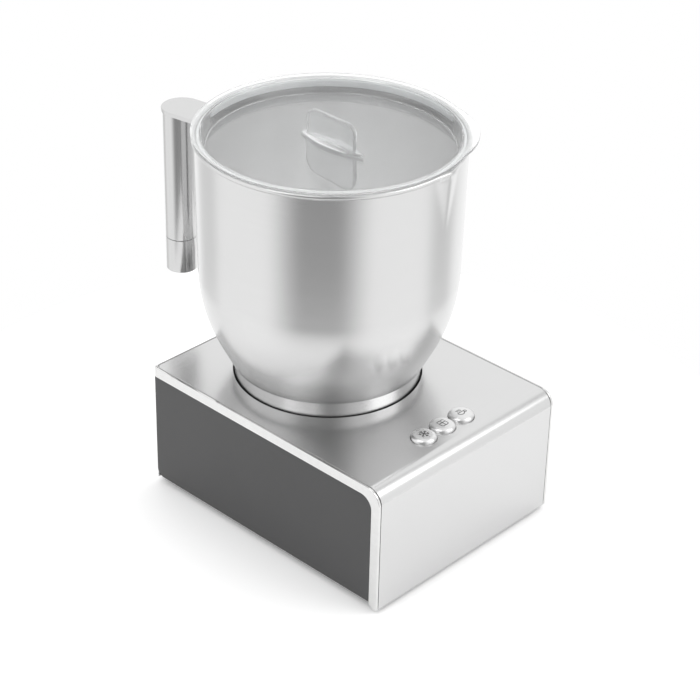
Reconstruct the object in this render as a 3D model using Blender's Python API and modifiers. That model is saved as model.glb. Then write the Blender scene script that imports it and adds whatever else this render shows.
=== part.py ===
"""Induction milk frother: a steel jug with a clear lid and a magnetic whisk, which stands in the
well of a box-shaped power base.

Metres, +Z up, -Y is the front, where the buttons are. The origin is on the floor under the middle
of the whole object's bounding box.
"""
import math

import bmesh
import bpy
from mathutils import Matrix

# ------------------------------------------------------------------ clearances
GAP = 0.0003              # between two pieces that touch, and between one that turns and its guide
SHAFT_GAP = 0.00015       # round the motor shaft
GUIDE_GAP = 0.0002        # round a button in its hole

# ------------------------------------------------------------------ power base
BASE_WIDTH = 0.112
BASE_DEPTH = 0.1395
BASE_HEIGHT = 0.060       # bent steel sheet, lower edge to top
FOOT_HEIGHT = 0.002
FOOT_RADIUS = 0.0065
FOOT_INSET = 0.013        # foot centre from the outer faces
SHEET = 0.001
BEND_RADIUS = 0.0073      # front edge of the top
BACK_BEND_RADIUS = 0.0015
BACK_CORNER_RADIUS = 0.0035  # upright edges at the back, seen from above
TRIM_WIDTH = 0.0046       # polished strip in front of and above each side panel
TRIM_THICKNESS = 0.0012
TRIM_INNER_RADIUS = 0.006
TRIM_END_RADIUS = 0.003   # lower end of the strip
PANEL_THICKNESS = 0.002
PANEL_RECESS = 0.0006     # panel face behind the trim's face
PANEL_LIFT = 0.002        # panel's lower edge above the steel's lower edge
PANEL_CORNER = 0.004
TRAY_FLOOR = 0.0025
TRAY_WALL = 0.0018
TRAY_RISE = 0.010
VENT_COUNT = 6
VENT_WIDTH = 0.0025
VENT_LENGTH = 0.026
POST_RADIUS = 0.0035
POST_INSET_X = 0.0105     # corner post centre from the side faces
POST_INSET_Y = 0.0265     # corner post centre from the front and back faces
FRAME_PLATE = 0.002       # plate of the inner frame, under the steel top

# ------------------------------------------------------------------ jug
AXIS_SETBACK = 0.0845     # jug axis behind the base's front face
JUG_HEIGHT = 0.119
JUG_RADIUS = 0.058        # at the rim; the wall leans outwards
SHOULDER_RADIUS = 0.057   # where the bowl meets the wall
JUG_TURN = math.radians(9.3)  # how far the jug is turned in its round seat
JUG_WALL = 0.0008
JUG_FLOOR = 0.002
BEAD_RADIUS = 0.001       # rolled edge of the rim, in section
BEAD_PROUD = 0.001        # how far the rolled edge stands out from the wall
FOOT_BAND_RADIUS = 0.0415
FOOT_BAND_HEIGHT = 0.0117
FOOT_RING_WIDTH = 0.004
FOOT_RING_HEIGHT = 0.001
BOWL_START = 0.0015       # ledge between the foot band and the bowl
FLARE_ANGLE = math.radians(27)
BOWL_ARC = 0.075
SPOUT_REACH = 0.0016
SPOUT_DROP = 0.030
SPOUT_HALF_ANGLE = math.radians(9)
WELL_DEPTH = 0.0045
WELL_CLEARANCE = 0.0006   # round the jug's foot
WELL_WALL = 0.0008
WELL_FLOOR = 0.0015

# ------------------------------------------------------------------ handle
HANDLE_RADIUS = 0.0071    # upright rod
HANDLE_OFFSET = 0.0821    # rod's axis from the jug's
HANDLE_REACH = 0.0893     # jug axis to the arm's round end
HANDLE_BELOW_RIM = 0.0099
HANDLE_LENGTH = 0.0809    # top face to the lower end
ARM_WIDTH = 0.0188
ARM_THICKNESS = 0.0018
HANDLE_CAP = 0.0165
HANDLE_EDGE = 0.0006

# ------------------------------------------------------------------ lid
LID_DROP = 0.0073         # lid floor below the flange's top
LID_FLOOR = 0.0018
LID_FLANGE = 0.0007
LID_FLANGE_SLOPE = 0.0006
LID_SEAL_WIDTH = 0.0012
LID_SEAL_HEIGHT = 0.003
LID_WALL_TOP = 0.001
LID_WALL_FOOT = 0.0024
LID_OVERHANG = 0.0012     # flange beyond the jug's wall
LID_LUG_REACH = 0.0029    # lug beyond the flange
LID_LUG_RADIUS = 0.038
LID_LUG_ANGLE = math.radians(-45)
GRIP_LENGTH = 0.0276
GRIP_HEIGHT = 0.013
GRIP_THICKNESS = 0.002
GRIP_CORNER = 0.005
GRIP_FOOT_LENGTH = 0.037
GRIP_FOOT_WIDTH = 0.008
GRIP_FOOT_HEIGHT = 0.0012

# ------------------------------------------------------------------ whisk
SPINDLE_RADIUS = 0.0025
SPINDLE_HEIGHT = 0.030
SPINDLE_FLANGE_RADIUS = 0.007
SPINDLE_FLANGE = 0.001
BUSH_WALL = 0.0014
BUSH_CAP = 0.006          # finger knob above the spindle's end
HUB_WALL = 0.002
HUB_DISC_RADIUS = 0.014
HUB_DISC_HEIGHT = 0.0045
MAGNET_HEIGHT = 0.0028
MAGNET_RING_WIDTH = 0.004
COIL_RING_RADIUS = 0.0185
COIL_WIRE_SPACE = 0.0036  # outer radius of the sprung coil, in section

# ------------------------------------------------------------------ heater and motor
HEATER_INNER = 0.024
HEATER_OUTER = 0.039
HEATER_HEIGHT = 0.0025
CARRIER_PLATE = 0.0015
CARRIER_WALL = 0.0015
CARRIER_SKIRT = 0.0068    # height of the motor's collar under the carrier
FERRITE_COUNT = 4
FERRITE_WIDTH = 0.007
FERRITE_HEIGHT = 0.0032
ROTOR_RADIUS = 0.0145
ROTOR_DISC = 0.002
ROTOR_MAGNET_COUNT = 4
ROTOR_MAGNET_RADIUS = 0.004
ROTOR_MAGNET_HEIGHT = 0.0035
ROTOR_CLEARANCE = 0.0015
MOTOR_RADIUS = 0.013
MOTOR_HEIGHT = 0.022
BRACKET_THICKNESS = 0.0015
SHAFT_RADIUS = 0.001

# ------------------------------------------------------------------ temperature sensor
SENSOR_RADIUS = 0.003
SENSOR_COLLAR = 0.0009
SENSOR_COLLAR_HEIGHT = 0.001
SENSOR_STEM_RADIUS = 0.0012
SENSOR_WIRE = 0.00025
SENSOR_TURNS = 2

# ------------------------------------------------------------------ electronics
BOARD_THICKNESS = 0.0016
POWER_BOARD_WIDTH = 0.076
POWER_BOARD_DEPTH = 0.066
POWER_BOARD_SETBACK = 0.008
STANDOFF_HEIGHT = 0.003
STANDOFF_RADIUS = 0.0025
SINK_SIZE = (0.030, 0.018, 0.020)
SINK_FIN_COUNT = 5
CAPACITOR_RADIUS = 0.008
CAPACITOR_HEIGHT = 0.024
CHOKE_RADIUS = 0.008
CHOKE_SECTION = 0.0035
FAN_SIZE = 0.040
FAN_HEIGHT = 0.010
FAN_WALL = 0.0015
FAN_HUB_RADIUS = 0.010
FAN_BLADES = 7
FAN_X = -0.018

# ------------------------------------------------------------------ buttons
BUTTON_COUNT = 3
BUTTON_RADIUS = 0.0056
BUTTON_SPACING = 0.012
BUTTON_SETBACK = 0.0158   # behind the front face
BUTTON_PROUD = 0.002
BUTTON_DOME = 0.0012
BUTTON_SKIRT = 0.0045     # from the steel top down to the button's lower edge
BUTTON_STEM_RADIUS = 0.002
BUTTON_STEM = 0.0025
BUTTON_LUG_WIDTH = 0.0052
BUTTON_LUG_REACH = 0.0012
BUTTON_LUG_HEIGHT = 0.001
BUTTON_TRAVEL = 0.0009
SWITCH_SIZE = 0.006
SWITCH_HEIGHT = 0.003
SWITCH_PLUNGER = 0.0007
BUTTON_BOARD_WIDTH = 0.056
BUTTON_BOARD_DEPTH = 0.014
BOARD_POST_RADIUS = 0.0026

# ------------------------------------------------------------------ cord gland and screws
GLAND_X = 0.030
GLAND_HEIGHT = 0.016
GLAND_BORE = 0.0036
GLAND_NECK = 0.0052
GLAND_FLANGE = 0.0078
GLAND_FLANGE_DEPTH = 0.002
GLAND_OUTLET = 0.0065
SCREW_RADIUS = 0.00125
SCREW_HEAD_RADIUS = 0.0027
SCREW_HEAD = 0.0011
SCREW_LENGTH = 0.010
SMALL_SCREW_LENGTH = 0.005

# ------------------------------------------------------------------ levels and places
FRONT_Y = -(AXIS_SETBACK + HANDLE_REACH * math.cos(JUG_TURN)) / 2
BACK_Y = FRONT_Y + BASE_DEPTH
JUG_Y = FRONT_Y + AXIS_SETBACK
SHELL_Z = FOOT_HEIGHT
TOP_Z = SHELL_Z + BASE_HEIGHT
WELL_Z = TOP_Z - WELL_DEPTH
WELL_RADIUS = FOOT_BAND_RADIUS + WELL_CLEARANCE
WELL_UNDER_Z = WELL_Z - WELL_FLOOR
JUG_Z = WELL_Z + GAP
RIM_Z = JUG_Z + JUG_HEIGHT
JUG_BORE = JUG_RADIUS - JUG_WALL
JUG_FLOOR_Z = JUG_Z + FOOT_RING_HEIGHT + JUG_FLOOR
HEATER_Z = WELL_UNDER_Z - GAP - HEATER_HEIGHT
CARRIER_Z = HEATER_Z - GAP - CARRIER_PLATE
BRACKET_Z = CARRIER_Z - CARRIER_SKIRT + CARRIER_PLATE - GAP - BRACKET_THICKNESS
MOTOR_Z = BRACKET_Z - GAP - MOTOR_HEIGHT
COLLAR_BORE = ROTOR_RADIUS + ROTOR_CLEARANCE
SENSOR_OFFSET = (COLLAR_BORE + HEATER_INNER) / 2
BOARD_Z = SHELL_Z + TRAY_FLOOR + STANDOFF_HEIGHT + GAP
BUTTON_Y = FRONT_Y + BUTTON_SETBACK
FRAME_Z = TOP_Z - SHEET - GAP - FRAME_PLATE
BUTTON_STEM_Z = TOP_Z - BUTTON_SKIRT - BUTTON_STEM
SWITCH_TOP_Z = BUTTON_STEM_Z - BUTTON_TRAVEL - GAP
BUTTON_BOARD_Z = SWITCH_TOP_Z - SWITCH_PLUNGER - SWITCH_HEIGHT - GAP - BOARD_THICKNESS
SIDE_X = BASE_WIDTH / 2
SHEET_HALF = SIDE_X - TRIM_THICKNESS - GAP
TRAY_HALF = SIDE_X - PANEL_RECESS - PANEL_THICKNESS - GAP

ROUND = 40                # steps round the jug and whatever is concentric with it
SMALL_ROUND = 24

for old in list(bpy.data.objects):
    bpy.data.objects.remove(old, do_unlink=True)

parts = bpy.data.collections.new("milk_frother")
helpers = bpy.data.collections.new("cutters")
bpy.context.scene.collection.children.link(parts)
bpy.context.scene.collection.children.link(helpers)


# ------------------------------------------------------------------ materials
def material(name, colour, roughness, metallic=0.0, alpha=1.0):
    made = bpy.data.materials.new(name)
    made.use_nodes = True
    shader = made.node_tree.nodes["Principled BSDF"]
    shader.inputs["Base Color"].default_value = (*colour, 1.0)
    shader.inputs["Roughness"].default_value = roughness
    shader.inputs["Metallic"].default_value = metallic
    shader.inputs["Alpha"].default_value = alpha
    return made


BRUSHED = material("brushed_steel", (0.62, 0.61, 0.60), 0.34, 1.0)
POLISHED = material("polished_steel", (0.80, 0.80, 0.80), 0.12, 1.0)
PANEL = material("dark_panel", (0.09, 0.09, 0.095), 0.35)
BLACK = material("black_plastic", (0.025, 0.025, 0.027), 0.5)
RUBBER = material("rubber", (0.03, 0.03, 0.03), 0.8)
CLEAR = material("clear_plastic", (0.85, 0.87, 0.88), 0.05, 0.0, 0.35)
SILICONE = material("silicone", (0.75, 0.76, 0.77), 0.45)
COPPER = material("copper", (0.72, 0.36, 0.20), 0.35, 1.0)
FERRITE = material("ferrite", (0.07, 0.07, 0.075), 0.6)
MAGNET = material("magnet", (0.55, 0.55, 0.56), 0.25, 1.0)
BOARD = material("circuit_board", (0.03, 0.16, 0.07), 0.45)
ALUMINIUM = material("aluminium", (0.70, 0.71, 0.72), 0.4, 1.0)
STEEL = material("steel", (0.50, 0.50, 0.51), 0.3, 1.0)


# ------------------------------------------------------------------ building blocks
def arc(centre, radius, start, end, count):
    """Points on an arc, angles in degrees, both ends included."""
    angles = [math.radians(start + (end - start) * i / count) for i in range(count + 1)]
    return [(centre[0] + radius * math.cos(a), centre[1] + radius * math.sin(a)) for a in angles]


def ring_section(inner, outer, low, high):
    """Rectangular section of a ring: down the outer side, up the inner side."""
    return [(outer, high), (outer, low), (inner, low), (inner, high)]


def disc_section(radius, low, high):
    return [(0, high), (radius, high), (radius, low), (0, low)]


def place(obj, finish, parent=None, location=(0, 0, 0)):
    """Puts a piece in the object's collection, or in the helpers' if it has no material."""
    (parts if finish else helpers).objects.link(obj)
    obj.location = location
    if finish:
        obj.data.materials.append(finish)
    else:
        obj.hide_render = True
        obj.display_type = "WIRE"
    if parent:
        obj.parent = parent
    return obj


def shade(mesh):
    mesh.shade_smooth()
    mesh.set_sharp_from_angle(angle=math.radians(35))


def turned(name, profile, finish=None, closed=False, steps=SMALL_ROUND, **where):
    """Solid of revolution about its own Z axis."""
    mesh = bpy.data.meshes.new(name)
    count = len(profile)
    edges = [(i, i + 1) for i in range(count - 1)] + ([(count - 1, 0)] if closed else [])
    mesh.from_pydata([(r, 0, z) for r, z in profile], edges, [])
    obj = bpy.data.objects.new(name, mesh)
    place(obj, finish, **where)
    screw = obj.modifiers.new("turn", "SCREW")
    screw.steps = steps
    screw.render_steps = steps
    screw.use_merge_vertices = True
    screw.merge_threshold = 0.00001
    screw.use_smooth_shade = True
    return obj


def fixed_mesh(obj):
    """Replaces an object's modifiers, or a curve, by the welded mesh that they make."""
    bpy.context.view_layer.update()
    evaluated = obj.evaluated_get(bpy.context.evaluated_depsgraph_get())
    mesh = bpy.data.meshes.new_from_object(evaluated)
    work = bmesh.new()
    work.from_mesh(mesh)
    bmesh.ops.remove_doubles(work, verts=work.verts, dist=0.000005)
    bmesh.ops.recalc_face_normals(work, faces=work.faces)
    work.to_mesh(mesh)
    work.free()
    made = bpy.data.objects.new(obj.name, mesh)
    for collection in obj.users_collection:
        collection.objects.link(made)
    made.hide_render, made.display_type = obj.hide_render, obj.display_type
    made.parent = obj.parent
    made.matrix_local = obj.matrix_local.copy()
    name = obj.name
    bpy.data.objects.remove(obj, do_unlink=True)
    made.name = name
    mesh.name = name
    return made


def slab(name, outline, thickness, finish=None, facing="Z", **where):
    """Flat outline with a thickness, centred on its plane. Facing X, the outline is (y, z)."""
    curve = bpy.data.curves.new(name, "CURVE")
    curve.dimensions = "2D"
    curve.fill_mode = "BOTH"
    curve.extrude = thickness / 2
    spline = curve.splines.new("POLY")
    spline.points.add(len(outline) - 1)
    for point, (u, v) in zip(spline.points, outline):
        point.co = (u, v, 0, 1)
    spline.use_cyclic_u = True
    obj = bpy.data.objects.new(name, curve)
    place(obj, finish, **where)
    if facing == "X":
        obj.rotation_euler = (math.pi / 2, 0, math.pi / 2)
    return fixed_mesh(obj)


def box(name, size, centre, finish=None, edge=0.0, **where):
    mesh = bpy.data.meshes.new(name)
    work = bmesh.new()
    bmesh.ops.create_cube(work, size=1.0, matrix=Matrix.Diagonal((*size, 1.0)))
    work.to_mesh(mesh)
    work.free()
    obj = bpy.data.objects.new(name, mesh)
    place(obj, finish, location=centre, **where)
    if edge:
        bevel(obj, edge)
    return obj


def bevel(obj, width, segments=1):
    made = obj.modifiers.new("edges", "BEVEL")
    made.width = width
    made.segments = segments
    made.limit_method = "ANGLE"
    made.angle_limit = math.radians(40)
    made.use_clamp_overlap = True


def boolean(target, other, operation):
    made = target.modifiers.new(operation.lower(), "BOOLEAN")
    made.operation = operation
    made.object = other
    made.solver = "EXACT"


def cut(target, *tools):
    for tool in tools:
        boolean(target, tool, "DIFFERENCE")


def join(target, *additions):
    for addition in additions:
        boolean(target, addition, "UNION")


def rod(name, radius, low, high, centre, finish=None, steps=16, parent=None):
    """Upright cylinder from one level to another at centre (x, y)."""
    return turned(name, disc_section(radius, low, high), finish, steps=steps,
                  location=(*centre, 0), parent=parent)


def axis_empty(name, location):
    empty = bpy.data.objects.new(name, None)
    empty.location = location
    parts.objects.link(empty)
    return empty


def corners(inset_x, inset_y):
    """The four places that lie inset_x from the sides and inset_y from the front and back."""
    x = SIDE_X - inset_x
    return [(sx * x, y) for y in (FRONT_Y + inset_y, BACK_Y - inset_y) for sx in (-1, 1)]


def front_bend(inset, radius, count=6):
    """Bend between the front and the top, seen from the side, as (y, z) from the front up."""
    centre = (FRONT_Y + inset + radius, TOP_Z - inset - radius)
    return arc(centre, radius, 180, 90, count)


def back_bend():
    """Tight bend between the top and the back, as (y, z) from the top down."""
    radius = BACK_BEND_RADIUS
    return arc((BACK_Y - radius, TOP_Z - radius), radius, 90, 0, 3)


def round_off_back(obj, side):
    """Rounds the upright edge at the back on one side, -1 or 1."""
    radius = BACK_CORNER_RADIUS
    edge = [(side * u, v) for u, v in arc((0, 0), radius, 0, 90, 6)]
    outline = edge + [(0, 2 * radius), (side * 2 * radius, 2 * radius), (side * 2 * radius, 0)]
    centre = (side * (SIDE_X - radius), BACK_Y - radius, TOP_Z / 2)
    cut(obj, slab(f"cut_back_{obj.name}_{side + 1}", outline, 2 * TOP_Z, location=centre))


jug_axis = axis_empty("jug_axis", (0, JUG_Y, 0))
jug_turn = axis_empty("jug_turn", (0, JUG_Y, 0))
jug_turn.rotation_euler = (0, 0, JUG_TURN)


# ------------------------------------------------------------------ base shell
def make_housing():
    back, top = BACK_Y - SHEET, TOP_Z - SHEET
    outside = [(FRONT_Y, SHELL_Z)] + front_bend(0, BEND_RADIUS) + back_bend()
    inside = [(back, SHELL_Z), (back, top)] + front_bend(SHEET, BEND_RADIUS - SHEET)[::-1]
    outline = outside + [(BACK_Y, SHELL_Z)] + inside + [(FRONT_Y + SHEET, SHELL_Z)]
    housing = slab("steel_housing", outline, 2 * SHEET_HALF, BRUSHED, facing="X")
    deep = WELL_DEPTH + SHEET
    cut(housing, rod("cut_well_hole", WELL_RADIUS, TOP_Z - deep, TOP_Z + deep, (0, JUG_Y),
                     steps=ROUND))
    for i, x in enumerate(button_places()):
        cut(housing, rod(f"cut_button_{i}", BUTTON_RADIUS + GUIDE_GAP, TOP_Z - deep, TOP_Z + deep,
                         (x, BUTTON_Y)))
    hole = rod("cut_gland", GLAND_NECK + GUIDE_GAP, -deep, deep, (0, 0))
    hole.rotation_euler = (math.pi / 2, 0, 0)
    hole.location = (GLAND_X, BACK_Y, GLAND_HEIGHT)
    cut(housing, hole)
    for side in (-1, 1):
        round_off_back(housing, side)


def make_sides():
    """Polished strip down the front edge and along the top, with the dark panel inside it."""
    inner = FRONT_Y + TRIM_WIDTH
    end = arc((inner - TRIM_END_RADIUS, SHELL_Z + TRIM_END_RADIUS), TRIM_END_RADIUS, 0, -90, 4)
    strip = ([(FRONT_Y, SHELL_Z)] + front_bend(0, BEND_RADIUS) + back_bend()
             + [(BACK_Y, TOP_Z - TRIM_WIDTH)]
             + front_bend(TRIM_WIDTH, TRIM_INNER_RADIUS)[::-1] + end)
    low, back = SHELL_Z + PANEL_LIFT, BACK_Y - SHEET - GAP
    lower_back = arc((back - PANEL_CORNER, low + PANEL_CORNER), PANEL_CORNER, 0, -90, 4)
    sheet = ([(inner + GAP, low)] + front_bend(TRIM_WIDTH + GAP, TRIM_INNER_RADIUS - GAP)
             + [(back, TOP_Z - TRIM_WIDTH - GAP)] + lower_back)
    for side, name in ((-1, "left"), (1, "right")):
        trim = slab(f"side_trim_{name}", strip, TRIM_THICKNESS, POLISHED, facing="X",
                    location=(side * (SIDE_X - TRIM_THICKNESS / 2), 0, 0))
        round_off_back(trim, side)
        slab(f"side_panel_{name}", sheet, PANEL_THICKNESS, PANEL, facing="X",
             location=(side * (SIDE_X - PANEL_RECESS - PANEL_THICKNESS / 2), 0, 0))


def make_tray():
    front, back = FRONT_Y + SHEET + GAP, BACK_Y - SHEET - GAP
    depth, middle = back - front, (front + back) / 2
    high = TRAY_FLOOR + TRAY_RISE
    tray = box("base_plate", (2 * TRAY_HALF, depth, high), (0, middle, SHELL_Z + high / 2), BLACK)
    inside = box("cut_tray", (2 * (TRAY_HALF - TRAY_WALL), depth - 2 * TRAY_WALL, high),
                 (0, middle, SHELL_Z + TRAY_FLOOR + high / 2))
    cut(tray, inside)
    for i, (x, y) in enumerate(standoff_places()):
        join(tray, rod(f"add_standoff_{i}", STANDOFF_RADIUS, SHELL_Z + TRAY_FLOOR / 2,
                       BOARD_Z - GAP, (x, y), steps=12))
    for i in range(VENT_COUNT):
        x = FAN_X + (i - (VENT_COUNT - 1) / 2) * 2 * VENT_WIDTH
        cut(tray, box(f"cut_vent_{i}", (VENT_WIDTH, VENT_LENGTH, 4 * TRAY_FLOOR),
                      (x, fan_y(), SHELL_Z)))
    for i, (x, y) in enumerate(corners(POST_INSET_X, POST_INSET_Y)):
        head_top = SHELL_Z + SCREW_HEAD + 2 * GAP
        profile = [(0, SHELL_Z + high), (SCREW_RADIUS + GAP, SHELL_Z + high),
                   (SCREW_RADIUS + GAP, head_top), (SCREW_HEAD_RADIUS + GAP, head_top),
                   (SCREW_HEAD_RADIUS + GAP, 0), (0, 0)]
        cut(tray, turned(f"cut_screw_{i}", profile, location=(x, y, 0), steps=16))
    # The gland's inner flange reaches down to the tray's back wall, which makes room for it.
    reach = GLAND_FLANGE + GAP
    cut(tray, box("cut_tray_gland", (2 * reach, 4 * GLAND_FLANGE_DEPTH, 2 * reach),
                  (GLAND_X, BACK_Y, GLAND_HEIGHT)))


def make_feet():
    for i, (x, y) in enumerate(corners(FOOT_INSET, FOOT_INSET)):
        edge = FOOT_HEIGHT / 4
        top = FOOT_HEIGHT - GAP
        profile = [(0, top), (FOOT_RADIUS, top), (FOOT_RADIUS, edge),
                   (FOOT_RADIUS - edge, 0), (0, 0)]
        turned(f"foot_{i + 1}", profile, RUBBER, location=(x, y, 0))


def make_base_screws():
    head_z = SHELL_Z + GAP
    profile = [(0, head_z + SCREW_LENGTH), (SCREW_RADIUS, head_z + SCREW_LENGTH),
               (SCREW_RADIUS, head_z + SCREW_HEAD), (SCREW_HEAD_RADIUS, head_z + SCREW_HEAD),
               (SCREW_HEAD_RADIUS, head_z), (0, head_z)]
    for i, (x, y) in enumerate(corners(POST_INSET_X, POST_INSET_Y)):
        turned(f"base_screw_{i + 1}", profile, STEEL, location=(x, y, 0), steps=12)


def make_gland():
    """Turned about Y: outlet nose outside, flange on each side of the steel back."""
    inner = -SHEET - GAP
    outer = GAP
    profile = [(GLAND_NECK, outer + GLAND_FLANGE_DEPTH + GLAND_OUTLET),
               (GLAND_NECK, outer + GLAND_FLANGE_DEPTH), (GLAND_FLANGE, outer + GLAND_FLANGE_DEPTH),
               (GLAND_FLANGE, outer), (GLAND_NECK, outer), (GLAND_NECK, inner),
               (GLAND_FLANGE, inner), (GLAND_FLANGE, inner - GLAND_FLANGE_DEPTH),
               (GLAND_BORE, inner - GLAND_FLANGE_DEPTH),
               (GLAND_BORE, outer + GLAND_FLANGE_DEPTH + GLAND_OUTLET)]
    gland = turned("cord_gland", profile, BLACK, closed=True,
                   location=(GLAND_X, BACK_Y, GLAND_HEIGHT))
    gland.rotation_euler = (-math.pi / 2, 0, 0)


# ------------------------------------------------------------------ inner frame with the jug's well
def make_inner_frame():
    width = 2 * (TRAY_HALF - TRAY_WALL)
    front, back = FRONT_Y + BEND_RADIUS, BACK_Y - BEND_RADIUS
    frame = box("inner_frame", (width, back - front, FRAME_PLATE),
                (0, (front + back) / 2, FRAME_Z + FRAME_PLATE / 2), BLACK)
    outer = WELL_RADIUS + WELL_WALL
    lip = FRAME_Z + FRAME_PLATE
    profile = [(0, WELL_Z), (WELL_RADIUS, WELL_Z), (WELL_RADIUS, lip), (outer, lip),
               (outer, WELL_UNDER_Z), (0, WELL_UNDER_Z)]
    middle = WELL_RADIUS + WELL_WALL / 2
    cut(frame, rod("cut_frame_well", middle, FRAME_Z - FRAME_PLATE, TOP_Z, (0, JUG_Y), steps=ROUND))
    join(frame, turned("add_well", profile, steps=ROUND, location=(0, JUG_Y, 0)))
    cut(frame, rod("cut_sensor", SENSOR_RADIUS + GAP, WELL_UNDER_Z - GAP, WELL_Z + GAP,
                   (0, JUG_Y + SENSOR_OFFSET), steps=16))
    wide = (BUTTON_COUNT - 1) * BUTTON_SPACING + 2 * BUTTON_RADIUS + 4 * BUTTON_LUG_REACH
    deep = 2 * (BUTTON_RADIUS + BUTTON_LUG_REACH) + 2 * BUTTON_LUG_REACH
    cut(frame, box("cut_button_window", (wide, deep, 4 * FRAME_PLATE), (0, BUTTON_Y, FRAME_Z)))
    for i, (x, y) in enumerate(corners(POST_INSET_X, POST_INSET_Y)):
        low = SHELL_Z + TRAY_FLOOR + GAP
        join(frame, rod(f"add_post_{i}", POST_RADIUS, low, FRAME_Z + FRAME_PLATE / 2, (x, y),
                        steps=16))
        cut(frame, rod(f"cut_post_{i}", SCREW_RADIUS + GAP, low - GAP, SHELL_Z + SCREW_LENGTH + 3 * GAP,
                       (x, y), steps=12))
    for i, x in enumerate(board_post_places()):
        low = BUTTON_BOARD_Z + BOARD_THICKNESS + GAP
        join(frame, rod(f"add_board_post_{i}", BOARD_POST_RADIUS, low, FRAME_Z + FRAME_PLATE / 2,
                        (x, BUTTON_Y), steps=16))
        cut(frame, rod(f"cut_board_post_{i}", SCREW_RADIUS + GAP, low - GAP,
                       BUTTON_BOARD_Z + SMALL_SCREW_LENGTH + GAP, (x, BUTTON_Y), steps=12))


# ------------------------------------------------------------------ heater, motor and sensor
def make_heater():
    turned("induction_coil", ring_section(HEATER_INNER, HEATER_OUTER, HEATER_Z,
                                          HEATER_Z + HEATER_HEIGHT),
           COPPER, closed=True, steps=ROUND, parent=jug_axis)
    wall_in = HEATER_OUTER + GAP
    wall_out = wall_in + CARRIER_WALL
    collar_out = COLLAR_BORE + CARRIER_WALL
    top = CARRIER_Z + CARRIER_PLATE
    low = top - CARRIER_SKIRT
    profile = [(wall_in, HEATER_Z + HEATER_HEIGHT), (wall_out, HEATER_Z + HEATER_HEIGHT),
               (wall_out, CARRIER_Z), (collar_out, CARRIER_Z), (collar_out, low),
               (COLLAR_BORE, low), (COLLAR_BORE, top), (wall_in, top)]
    carrier = turned("coil_carrier", profile, BLACK, closed=True, steps=ROUND, parent=jug_axis)
    cut(carrier, rod("cut_stem", SENSOR_STEM_RADIUS + GAP, low, top + GAP,
                     (0, SENSOR_OFFSET), steps=12, parent=jug_axis))
    length = HEATER_OUTER - HEATER_INNER
    for i in range(FERRITE_COUNT):
        angle = 2 * math.pi * (i + 0.5) / FERRITE_COUNT
        middle = (HEATER_INNER + HEATER_OUTER) / 2
        bar = box(f"ferrite_bar_{i + 1}", (length, FERRITE_WIDTH, FERRITE_HEIGHT),
                  (middle * math.cos(angle), middle * math.sin(angle),
                   CARRIER_Z - GAP - FERRITE_HEIGHT / 2), FERRITE, edge=0.0004, parent=jug_axis)
        bar.rotation_euler = (0, 0, angle)


def make_motor():
    bracket = ring_section(SHAFT_RADIUS + GAP, COLLAR_BORE + CARRIER_WALL, BRACKET_Z,
                           BRACKET_Z + BRACKET_THICKNESS)
    turned("motor_bracket", bracket, ALUMINIUM, closed=True, parent=jug_axis)
    edge = 0.001
    top = MOTOR_Z + MOTOR_HEIGHT
    can = [(0, top), (MOTOR_RADIUS - edge, top), (MOTOR_RADIUS, top - edge),
           (MOTOR_RADIUS, MOTOR_Z + edge), (MOTOR_RADIUS - edge, MOTOR_Z), (0, MOTOR_Z)]
    turned("motor_can", can, STEEL, parent=jug_axis)
    disc_top = WELL_UNDER_Z - ROTOR_MAGNET_HEIGHT - 2 * GAP - GAP
    turned("rotor_disc", ring_section(SHAFT_RADIUS + SHAFT_GAP, ROTOR_RADIUS,
                                      disc_top - ROTOR_DISC, disc_top),
           ALUMINIUM, closed=True, parent=jug_axis)
    rod("motor_shaft", SHAFT_RADIUS, top + GAP, disc_top + GAP, (0, 0), STEEL, steps=16,
        parent=jug_axis)
    ring = ROTOR_RADIUS - ROTOR_MAGNET_RADIUS - ROTOR_CLEARANCE / 3
    for i in range(ROTOR_MAGNET_COUNT):
        angle = 2 * math.pi * i / ROTOR_MAGNET_COUNT
        rod(f"rotor_magnet_{i + 1}", ROTOR_MAGNET_RADIUS, disc_top + GAP,
            disc_top + GAP + ROTOR_MAGNET_HEIGHT, (ring * math.cos(angle), ring * math.sin(angle)),
            MAGNET, steps=16, parent=jug_axis)


def make_sensor():
    sensor_axis = axis_empty("sensor_axis", (0, JUG_Y + SENSOR_OFFSET, 0))
    head_top = JUG_Z + FOOT_RING_HEIGHT - GAP
    collar_top = WELL_UNDER_Z - GAP
    collar_low = collar_top - SENSOR_COLLAR_HEIGHT
    collar = SENSOR_RADIUS + SENSOR_COLLAR
    edge = SENSOR_RADIUS / 6
    profile = [(0, head_top), (SENSOR_RADIUS - edge, head_top), (SENSOR_RADIUS, head_top - edge),
               (SENSOR_RADIUS, collar_top), (collar, collar_top), (collar, collar_low),
               (SENSOR_STEM_RADIUS, collar_low), (SENSOR_STEM_RADIUS, CARRIER_Z - CARRIER_PLATE),
               (0, CARRIER_Z - CARRIER_PLATE)]
    turned("sensor_plunger", profile, ALUMINIUM, steps=16, parent=sensor_axis)
    spring_low = CARRIER_Z + CARRIER_PLATE + GAP / 2 + SENSOR_WIRE
    spring_high = collar_low - GAP / 2 - SENSOR_WIRE
    helix("sensor_spring", (SENSOR_STEM_RADIUS + collar) / 2, SENSOR_WIRE, spring_low, spring_high,
          SENSOR_TURNS, STEEL, sensor_axis)


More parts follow.
